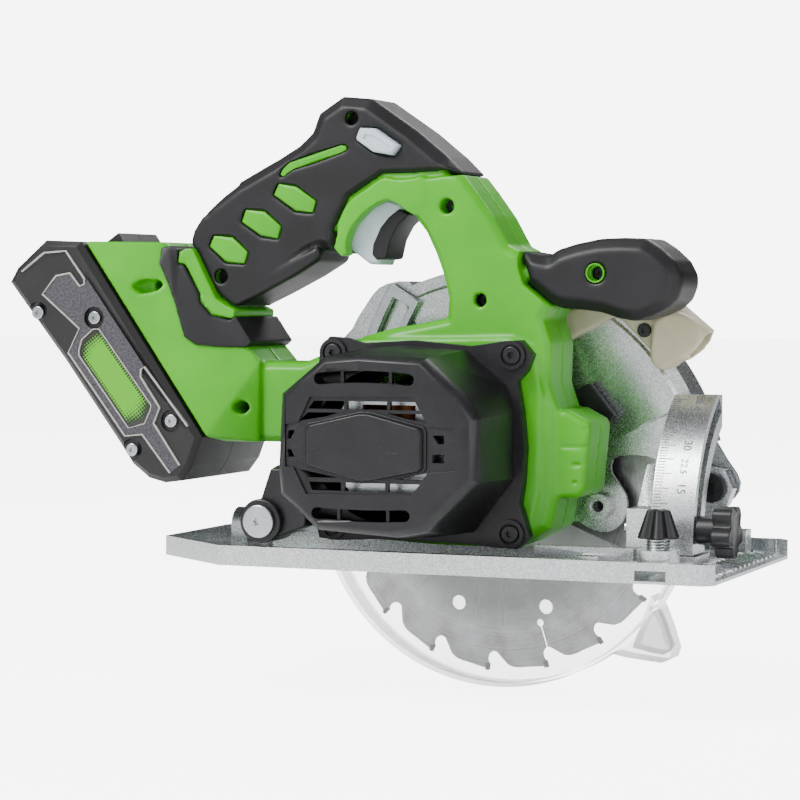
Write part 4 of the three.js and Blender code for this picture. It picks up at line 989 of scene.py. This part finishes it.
def bead_along(points, half, near, far):
    """A thin raised bead that follows a line of (x, z) points, with its corners mitred."""
    left, right_side = [], []
    for index, (x, z) in enumerate(points):
        before = points[max(index - 1, 0)]
        after = points[min(index + 1, len(points) - 1)]
        step_x, step_z = after[0] - before[0], after[1] - before[1]
        reach = hypot(step_x, step_z)
        left.append((x - step_z / reach * half, z + step_x / reach * half))
        right_side.append((x + step_z / reach * half, z - step_x / reach * half))
    return plate("bead", left + right_side[::-1], near, far)


# The beads take the pale highlight colour: a painted highlight along the panel's and the label's edges.
beads = [
    bead_along([(-194.5, 127.8), (-183, 136.3), (-172, 137.1), (-162.6, 124.6), (-162.6, 122.2), (-165, 121.3),
                (-169.9, 127.2), (-176.9, 125.9), (-183.9, 117.7), (-165.1, 102.3), (-170.7, 91.4), (-142.1, 54.5),
                (-133.5, 55.4), (-119.8, 38.6)], 0.42, -13.4, -14.9),
    bead_along([(-115, 42), (-127.9, 60.5), (-124.9, 67.5), (-134.4, 81.1), (-134.2, 84.4), (-132.5, 85.6),
                (-111.2, 59.6)], 0.42, -13.4, -14.9),
    bead_along(spread(LABEL, 0.5) + [spread(LABEL, 0.5)[0]], 0.3, -13.4, -14.8),
]
for bead in beads:
    round_edges(bead, 0.15, 2)
finish_piece(one_mesh("beads", beads), "battery_panel_highlight_bead", highlight_bead, "battery", "battery_plastic")

# Label: printed film, leaf green in the middle and fading to black dots round its edge, under a clear gloss.
label_film, tree, place = start_material("printed_label_film")
turned_place = add_node(
    tree, "ShaderNodeMapping", {"Rotation": (0.0, radians(-52), 0.0), "Scale": (1 / (1.3 * MM),) * 3}, {"Vector": place},
)
dots = add_node(
    tree, "ShaderNodeTexVoronoi", {"Scale": 1.0, "Randomness": 0.0}, {"Vector": turned_place.outputs["Vector"]},
)
edge = add_node(tree, "ShaderNodeAttribute", {"attribute_name": "print_edge"})
size_of_dot = add_node(
    tree, "ShaderNodeMapRange", {"From Min": 0.0, "From Max": 1.0, "To Min": 0.0, "To Max": 0.72},
    {"Value": edge.outputs["Fac"]},
)
inked = add_node(
    tree, "ShaderNodeMath", {"operation": "LESS_THAN"},
    {0: dots.outputs["Distance"], 1: size_of_dot.outputs["Result"]},
)
ink = add_node(
    tree, "ShaderNodeMix", {"data_type": "RGBA", 6: linear("#59B010"), 7: linear("#1C2114")}, {0: inked.outputs["Value"]},
)
close_material(tree, add_node(
    tree, "ShaderNodeBsdfPrincipled", {"Roughness": 0.3, "Coat Weight": 0.4}, {"Base Color": ink.outputs[2]},
))

label = layered("label", [
    (-13.7, LABEL), (-14.35, LABEL), (-14.4, drawn_in(LABEL, 0.95)), (-14.4, drawn_in(LABEL, 0.82)),
    (-14.4, drawn_in(LABEL, 0.6)),
])
label.data.attributes.new("print_edge", "FLOAT", "POINT")
weights = [1.0] * 18 + [0.9] * 9 + [0.55] * 9 + [0.0] * 9
label.data.attributes["print_edge"].data.foreach_set("value", weights)
finish_piece(label, "battery_label_film", label_film, "battery", "green_plastic", "battery_label")

pack_screws = []
for x, z in ((-186.6, 109.3), (-157.8, 107.2), (-119.6, 61.7), (-139, 48.4)):
    pack_screws.append(socket_screw("pack_screw", x, z, 2.9, -14.6, 2.0, 1.3))
finish_piece(one_mesh("pack_screws", pack_screws), "battery_screws", zinc_steel, "battery", "steel")
latch = crisp_copy("battery_latch", 0.8, 3)
finish_piece(latch, "battery_latch_key", black_nylon, "battery_latch", "black_plastic", "battery_latch")

# ---- upper guard ---------------------------------------------------------------------------------------
# One magnesium-alloy casting: a flat wall on the motor side with a window over the blade, a deep rim, a narrow
# far flange and a nose arm that hangs on the pivot screw. It is blasted and painted clear, so it stays pale.

BLADE_X, BLADE_Z = 9.25, 29.56


def around(radius, start, end, steps):
    """Points on a circle about the blade axis, from one angle to another."""
    return [
        (BLADE_X + radius * cos(radians(start + (end - start) * step / steps)),
         BLADE_Z + radius * sin(radians(start + (end - start) * step / steps)))
        for step in range(steps + 1)
    ]


def ring_part(name, inner, outer, start, end, near, far, steps=72):
    """A part of a flat ring about the blade axis."""
    return plate(name, around(outer, start, end, steps) + around(inner, end, start, steps), near, far)


WALL = around(101.2, 27, 176, 80) + [
    (-88, 16), (-40, 16), (-20, 14), (20, 14), (43.2, 17.5), (48.7, 17.7), (52, 15.6), (55.6, 14), (59, 13.3),
    (62.4, 13.5), (65.6, 14.9), (68.6, 18), (70.4, 22), (71, 26.5), (70.2, 30), (67, 35), (63.6, 39.4), (63.1, 42.4),
    (64, 45.4), (66.4, 47.2), (74, 48), (80, 47.6), (86, 45.6), (92, 43.4), (98, 41), (103.4, 33), (107, 29), (112, 27.2),
    (116, 28), (119.4, 30.2), (121.6, 33.4), (122, 37), (120.4, 41), (116, 47), (111, 55),
]
guard = plate("guard", WALL, 54.2, 56.4)
combine(guard, ring_part("rim", 97.5, 101.2, 14, 177, 54.2, 76), "UNION")
combine(guard, ring_part("far_flange", 64, 101.2, 16, 172, 74, 76), "UNION")
combine(guard, plate("rear_boss", [(-64, 97), (-58, 108), (-51, 118), (-48, 121), (-44, 123), (-38, 124.2), (-33, 124),
                                   (-31, 121), (-31, 118), (-40, 112), (-56, 98)], 54.2, 76), "UNION")
combine(guard, post("hub", "y", (BLADE_X, BLADE_Z), 17, 54.2, 58.6, 64), "UNION")
combine(guard, post("boss", "y", (59, 25), 5.6, 48.4, 55, 48), "UNION")
shoulder = layered("shoulder", [
    (54.8, around(96.8, 24, 118, 40) + around(70, 118, 24, 40)),
    (53.3, around(94.6, 25, 117, 40) + around(75, 117, 25, 40)),
])
combine(guard, shoulder, "UNION")
combine(guard, post("bearing_bore", "y", (BLADE_X, BLADE_Z), 13.3, 39, 55, 64), "DIFFERENCE")
combine(guard, post("spindle_bore", "y", (BLADE_X, BLADE_Z), 5.3, 39, 69, 48), "DIFFERENCE")
combine(guard, post("pivot_bore", "y", (112.5, 35.3), 3.75, 39, 79, 32), "DIFFERENCE")
combine(guard, post("clamp_bore", "y", (-55.1, 35.3), 4.3, 39, 69, 32), "DIFFERENCE")
combine(guard, post("boss_bore", "y", (59, 25), 2.5, 39, 57.5, 24), "DIFFERENCE")
combine(guard, post("boss_mouth", "y", (59, 25), 3.6, 39, 49.4, 24), "DIFFERENCE")
combine(guard, post("port_bore", "y", (80.2, 103), 1.8, 39, 69, 20), "DIFFERENCE")
round_edges(guard, 0.5, 2)
finish_piece(guard, "upper_guard_casting", cast_aluminium, "saw_unit", "cast_aluminium", "upper_guard")

# ---- dust port -----------------------------------------------------------------------------------------
# A two-part moulding in ivory polypropylene: a flat duct that follows the guard and a short spigot for a hose,
# held by one black screw.

# Ivory polypropylene: creamy and slightly see-through, with a waxy shine and faint flow clouds.
ivory_pp, tree, place = start_material("ivory_polypropylene")
cloud = add_node(tree, "ShaderNodeTexNoise", {"Scale": 1 / (12 * MM), "Detail": 3.0}, {"Vector": place})
tone = add_node(tree, "ShaderNodeValToRGB", links={"Fac": cloud.outputs["Fac"]})
tone.color_ramp.elements[0].color = linear("#BDB794")
tone.color_ramp.elements[1].color = linear("#D6D1B4")
grain = add_node(tree, "ShaderNodeTexNoise", {"Scale": 1 / (0.8 * MM)}, {"Vector": place})
bump = add_node(tree, "ShaderNodeBump", {"Strength": 0.12, "Distance": 0.05 * MM}, {"Height": grain.outputs["Fac"]})
close_material(tree, add_node(
    tree, "ShaderNodeBsdfPrincipled",
    {"Roughness": 0.4, "IOR": 1.49, "Subsurface Weight": 0.15, "Subsurface Scale": 2 * MM},
    {"Base Color": tone.outputs["Color"], "Normal": bump.outputs["Normal"]},
))

SPIGOT = [
    (84.9, 107.6), (92.8, 111.8), (98.3, 110.6), (102.6, 108.3), (107.5, 104), (107.9, 99.5), (104.5, 94.8), (98.5, 90.5),
    (94.8, 89.3), (91.2, 86.1), (88.7, 85.7), (86.3, 86.5), (83.8, 89.8), (83.5, 94.5), (84.3, 101.6),
]
port = raw_copy("dust_port")
cheek = plate("cheek", SPIGOT, 43.4, 60.4)
round_edges(cheek, 3.2, 4)
combine(port, cheek, "UNION")
hose_bore = post("hose_bore", "x", (52, 104.7), 7.0, 96, 130)
hose_bore.data.transform(about(95, 52, 104.7, "Y", 39.7))
combine(port, hose_bore, "DIFFERENCE")
moulded_copy(port, 0.45, 6)
finish_piece(port, "dust_port_moulding", ivory_pp, "saw_unit", "ivory_plastic", "dust_port")
port_screw = socket_screw("port_screw", 80.2, 103, 3.1, 46.5, 1.6, 1.4)
port_shank = post("shank", "y", (80.2, 103), 1.4, 47.6, 55.6, 16)
finish_piece(one_mesh("port_screw", [port_screw, port_shank]), "dust_port_torx", black_nylon, "saw_unit", "steel",
             "dust_port_screw")

# ---- lower guard ---------------------------------------------------------------------------------------
# The sprung guard is injection moulded in clear polycarbonate: two walls round the blade, a rim, a beak that
# rides over the work, and stiffening ribs that run out from a ring near the hub.

# Polycarbonate: water-clear with a smoky edge, lightly hazed by sawdust and rubbing.
clear_polycarbonate, tree, place = start_material("clear_polycarbonate")
haze = add_node(tree, "ShaderNodeTexNoise", {"Scale": 1 / (6 * MM), "Detail": 6.0}, {"Vector": place})
gloss = add_node(tree, "ShaderNodeMapRange", {"To Min": 0.06, "To Max": 0.22}, {"Value": haze.outputs["Fac"]})
bump = add_node(tree, "ShaderNodeBump", {"Strength": 0.05, "Distance": 0.1 * MM}, {"Height": haze.outputs["Fac"]})
slant = add_node(tree, "ShaderNodeLayerWeight", {"Blend": 0.35})
body = add_node(
    tree, "ShaderNodeMapRange", {"From Min": 0.1, "From Max": 0.9, "To Min": 0.06, "To Max": 0.6},
    {"Value": slant.outputs["Facing"]},
)
centred = add_node(
    tree, "ShaderNodeMapping", {"Location": (-BLADE_X * MM, 0.0, -BLADE_Z * MM), "Scale": (1.0, 0.0, 1.0)}, {"Vector": place},
)
radius = add_node(tree, "ShaderNodeVectorMath", {"operation": "LENGTH"}, {0: centred.outputs["Vector"]})
reach = add_node(
    tree, "ShaderNodeMapRange", {"From Max": 100 * MM}, {"Value": radius.outputs["Value"]},
)
milky = add_node(tree, "ShaderNodeValToRGB", links={"Fac": reach.outputs["Result"]})
milky.color_ramp.elements[0].position = 0.62
milky.color_ramp.elements[0].color = (0.14, 0.14, 0.14, 1)
milky.color_ramp.elements[1].position = 0.65
milky.color_ramp.elements[1].color = (0.03, 0.03, 0.03, 1)
for stop, value in ((0.87, 0.06), (0.9, 0.3)):
    milky.color_ramp.elements.new(stop).color = (value, value, value, 1)
veil = add_node(
    tree, "ShaderNodeMath", {"operation": "ADD", "use_clamp": True}, {0: body.outputs["Result"], 1: milky.outputs["Color"]},
)
close_material(tree, add_node(
    tree, "ShaderNodeBsdfPrincipled", {"Base Color": linear("#E4E7E5"), "IOR": 1.58},
    {"Roughness": gloss.outputs["Result"], "Normal": bump.outputs["Normal"], "Alpha": veil.outputs["Value"]},
))

shield = plate("near_wall", around(88.5, -22, -205, 90) + around(24, -205, -175, 6) + around(24, -52, -22, 6), 57, 58.6)
far_wall = plate("far_wall", around(88.5, -22, -205, 90) + around(24, -205, -175, 6) + around(24, -52, -22, 6), 71.4, 73)
combine(shield, far_wall, "UNION")
combine(shield, ring_part("rim", 86.9, 88.5, -22, -205, 57, 73, 90), "UNION")
beak = plate("beak", [(61.9, -40.8), (70, -42.4), (86.5, -44), (89.6, -42.6), (91, -38.5), (88, -29), (84.6, -20.6),
                      (81, -14.5), (77, -25), (70, -33)], 57, 73)
beak_room = plate("beak_room", [(74, -33.5), (72.6, -38), (80, -39.6), (86.4, -40.6), (88.4, -37.6), (84.6, -27), (80.4, -19.5)],
                  58.6, 71.4)
combine(beak, beak_room, "DIFFERENCE")
combine(shield, beak, "UNION")
for near in (57, 71.4):
    combine(shield, post("hub", "y", (BLADE_X, BLADE_Z), 25, near, near + 1.6, 64), "UNION")
for step in range(9):
    angle = -42 - 15 * step
    rib = bar("rib", (BLADE_X + 42, 58.2, BLADE_Z - 1.0), (BLADE_X + 61, 59.6, BLADE_Z + 1.0))
    rib.data.transform(about(BLADE_X, 0, BLADE_Z, "Y", -angle))
    combine(shield, rib, "UNION")
combine(shield, ring_part("stiffener", 47, 48.6, -30, -190, 58.3, 59.4, 80), "UNION")
combine(shield, post("near_bore", "y", (BLADE_X, BLADE_Z), 17.5, 39, 59.8, 64), "DIFFERENCE")
combine(shield, post("far_bore", "y", (BLADE_X, BLADE_Z), 19, 70, 79, 64), "DIFFERENCE")
round_edges(shield, 0.35, 2)
finish_piece(shield, "lower_guard_moulding", clear_polycarbonate, "lower_guard", "clear_plastic", "lower_guard")
lever = crisp_copy("guard_lever", 0.9, 3)
finish_piece(lever, "guard_lever_knob", black_nylon, "lower_guard", "black_plastic", "guard_lever")

# ---- blade ---------------------------------------------------------------------------------------------
# An 18-tooth steel blade, laser cut and tensioned, with a carbide tip brazed into each tooth and four expansion
# slots that end in keyholes. Two flanges and a bolt clamp it to the spindle.

# Ground tool steel: brown-grey with fine circular grinding lines and clouded stains.
ground_steel, tree, place = start_material("ground_tool_steel")
centred = add_node(
    tree, "ShaderNodeMapping", {"Location": (-BLADE_X * MM, 0.0, -BLADE_Z * MM)}, {"Vector": place},
)
flat = add_node(
    tree, "ShaderNodeVectorMath", {"operation": "MULTIPLY", 1: (1.0, 0.0, 1.0)}, {0: centred.outputs["Vector"]},
)
radius = add_node(tree, "ShaderNodeVectorMath", {"operation": "LENGTH"}, {0: flat.outputs["Vector"]})
lines = add_node(
    tree, "ShaderNodeTexNoise", {"noise_dimensions": "1D", "Scale": 1 / (0.8 * MM), "Detail": 4.0},
    {"W": radius.outputs["Value"]},
)
stain = add_node(
    tree, "ShaderNodeTexNoise", {"Scale": 1 / (13 * MM), "Detail": 7.0, "Roughness": 0.65}, {"Vector": place},
)
blend = add_node(
    tree, "ShaderNodeMath", {"operation": "MULTIPLY_ADD", 1: 0.35}, {0: lines.outputs["Fac"], 2: stain.outputs["Fac"]},
)
tone = add_node(tree, "ShaderNodeValToRGB", links={"Fac": blend.outputs["Value"]})
tone.color_ramp.elements[0].color = linear("#8A8583")
tone.color_ramp.elements[0].position = 0.42
tone.color_ramp.elements[1].color = linear("#D0D0D4")
tone.color_ramp.elements[1].position = 0.88
# The blade's colour is darker within 52 mm of the axis and reaches full brightness at 64 mm.
darker_near_hub = add_node(
    tree, "ShaderNodeMapRange", {"From Min": 52 * MM, "From Max": 64 * MM, "To Min": 0.42, "To Max": 1.0},
    {"Value": radius.outputs["Value"]},
)
steel_tint = add_node(
    tree, "ShaderNodeMix", {"data_type": "RGBA", "blend_type": "MULTIPLY", 0: 1.0},
    {6: tone.outputs["Color"], 7: darker_near_hub.outputs["Result"]},
)
gloss = add_node(tree, "ShaderNodeMapRange", {"To Min": 0.24, "To Max": 0.44}, {"Value": stain.outputs["Fac"]})
bump = add_node(tree, "ShaderNodeBump", {"Strength": 0.1, "Distance": 0.03 * MM}, {"Height": lines.outputs["Fac"]})
close_material(tree, add_node(
    tree, "ShaderNodeBsdfPrincipled", {"Metallic": 1.0},
    {"Base Color": steel_tint.outputs[2], "Roughness": gloss.outputs["Result"], "Normal": bump.outputs["Normal"]},
))

# Brazed carbide: darker, fine-grained and duller than the steel round it.
carbide, tree, place = start_material("brazed_carbide")
grain = add_node(tree, "ShaderNodeTexNoise", {"Scale": 1 / (0.5 * MM), "Detail": 4.0}, {"Vector": place})
tone = add_node(tree, "ShaderNodeValToRGB", links={"Fac": grain.outputs["Fac"]})
tone.color_ramp.elements[0].color = linear("#6A6C70")
tone.color_ramp.elements[1].color = linear("#8F9196")
bump = add_node(tree, "ShaderNodeBump", {"Strength": 0.2, "Distance": 0.03 * MM}, {"Height": grain.outputs["Fac"]})
close_material(tree, add_node(
    tree, "ShaderNodeBsdfPrincipled", {"Metallic": 0.9, "Roughness": 0.4},
    {"Base Color": tone.outputs["Color"], "Normal": bump.outputs["Normal"]},
))

TOOTH = [
    (81.6, 0), (79.6, -0.35), (77.4, -0.9), (75.4, -0.75), (74, 0.1), (73.4, 1.2), (73.7, 2.4), (75, 3.4),
    (77.2, 5.0), (79.2, 6.4), (80.3, 8.4), (80.6, 10.5), (80.6, 13), (81.0, 16), (81.5, 18.6),
]
FIRST_TIP = -94.2
blade_outline = []
for tooth in range(18):
    for reach, turn in TOOTH:
        angle = radians(FIRST_TIP + 20 * tooth + turn)
        blade_outline.append((BLADE_X + reach * cos(angle), BLADE_Z + reach * sin(angle)))
blade = plate("blade", blade_outline, 63.6, 65.0)
combine(blade, post("arbor", "y", (BLADE_X, BLADE_Z), 5.3, 60, 69, 48), "DIFFERENCE")
for tooth in (1, 6, 10, 15):
    angle = FIRST_TIP + 20 * tooth + 1.2
    slit = bar("slit", (BLADE_X + 62, 60, BLADE_Z - 0.45), (BLADE_X + 76, 69, BLADE_Z + 0.45))
    slit.data.transform(about(BLADE_X, 0, BLADE_Z, "Y", -angle))
    keyhole = post("keyhole", "y", (BLADE_X + 62, BLADE_Z), 1.7, 60, 69, 24)
    keyhole.data.transform(about(BLADE_X, 0, BLADE_Z, "Y", -angle))
    combine(blade, slit, "DIFFERENCE")
    combine(blade, keyhole, "DIFFERENCE")
for angle in (-112.1, -68.2, 112, 67.9):
    hole = post("hole", "y", (BLADE_X + 56, BLADE_Z), 3.3, 60, 69, 32)
    hole.data.transform(about(BLADE_X, 0, BLADE_Z, "Y", -angle))
    combine(blade, hole, "DIFFERENCE")
round_edges(blade, 0.12, 1)
finish_piece(blade, "blade_plate", ground_steel, "spindle", "steel", "blade")

tip = bar("tip", (BLADE_X + 79.0, 63.25, BLADE_Z - 0.9), (BLADE_X + 82.3, 65.35, BLADE_Z + 0.9))
round_edges(tip, 0.15, 1)
tips = [
    twin(tip, f"tip_{tooth}", about(BLADE_X, 0, BLADE_Z, "Y", -(FIRST_TIP + 20 * tooth - 0.7))) for tooth in range(18)
]
bpy.data.objects.remove(tip)
finish_piece(one_mesh("tips", tips), "blade_carbide_tips", carbide, "spindle", "steel")

for node, width in (("inner_flange", 0.5), ("outer_flange", 0.5), ("blade_bolt", 0.6), ("spindle", 0.3)):
    finish_piece(crisp_copy(node, width, 3), node + "_turned", zinc_steel, "spindle", "steel", node)

# ---- levers --------------------------------------------------------------------------------------------
# Two black nylon levers between the motor and the guard: one clamps the depth arc, the other locks the spindle.

finish_piece(crisp_copy("depth_lever", 0.8, 3), "depth_lever_arm", black_nylon, "depth_clamp", "black_plastic",
             "depth_lever")
finish_piece(crisp_copy("spindle_lock_lever", 0.8, 3), "spindle_lock_key", black_nylon, "spindle_lock", "black_plastic",
             "spindle_lock_lever")

# ---- inside --------------------------------------------------------------------------------------------
# The motor, its gears and the cells stay as they are inside the shells. The motor can, armature and commutator
# show a little through the vents.

# Lacquered copper: orange-brown wire under varnish, in fine parallel turns.
varnished_copper, tree, place = start_material("varnished_copper_wire")
turns = add_node(
    tree, "ShaderNodeTexWave", {"Scale": 1 / (1.2 * MM) / 20, "Distortion": 1.5, "Detail": 2.0}, {"Vector": place},
)
tone = add_node(tree, "ShaderNodeValToRGB", links={"Fac": turns.outputs["Fac"]})
tone.color_ramp.elements[0].color = linear("#5E2F14")
tone.color_ramp.elements[1].color = linear("#C47A45")
bump = add_node(tree, "ShaderNodeBump", {"Strength": 0.5, "Distance": 0.2 * MM}, {"Height": turns.outputs["Fac"]})
close_material(tree, add_node(
    tree, "ShaderNodeBsdfPrincipled", {"Metallic": 0.7, "Roughness": 0.35},
    {"Base Color": tone.outputs["Color"], "Normal": bump.outputs["Normal"]},
))

# Shrink sleeve: glossy blue film round each cell.
shrink_sleeve, tree, place = start_material("pvc_shrink_sleeve")
cloud = add_node(tree, "ShaderNodeTexNoise", {"Scale": 1 / (6 * MM)}, {"Vector": place})
tone = add_node(tree, "ShaderNodeValToRGB", links={"Fac": cloud.outputs["Fac"]})
tone.color_ramp.elements[0].color = linear("#2C5F97")
tone.color_ramp.elements[1].color = linear("#3F78B5")
close_material(tree, add_node(
    tree, "ShaderNodeBsdfPrincipled", {"Roughness": 0.25}, {"Base Color": tone.outputs["Color"]},
))

INSIDE = {
    zinc_steel: ["motor_can", "rotor_rear_bearing", "rotor_front_bearing", "rotor_shaft", "pinion", "spindle_gear",
                 "spindle_rear_bearing", "spindle_front_bearing"],
    varnished_copper: ["armature", "commutator"],
    black_nylon: ["cooling_fan", "trigger_switch", "terminal_block"],
    cast_aluminium: ["gear_case"],
    shrink_sleeve: [f"battery_cell_{number}" for number in range(1, 6)],
}
for material, names in INSIDE.items():
    for name in names:
        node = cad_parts[name]
        node.data.materials.clear()
        node.data.materials.append(material)
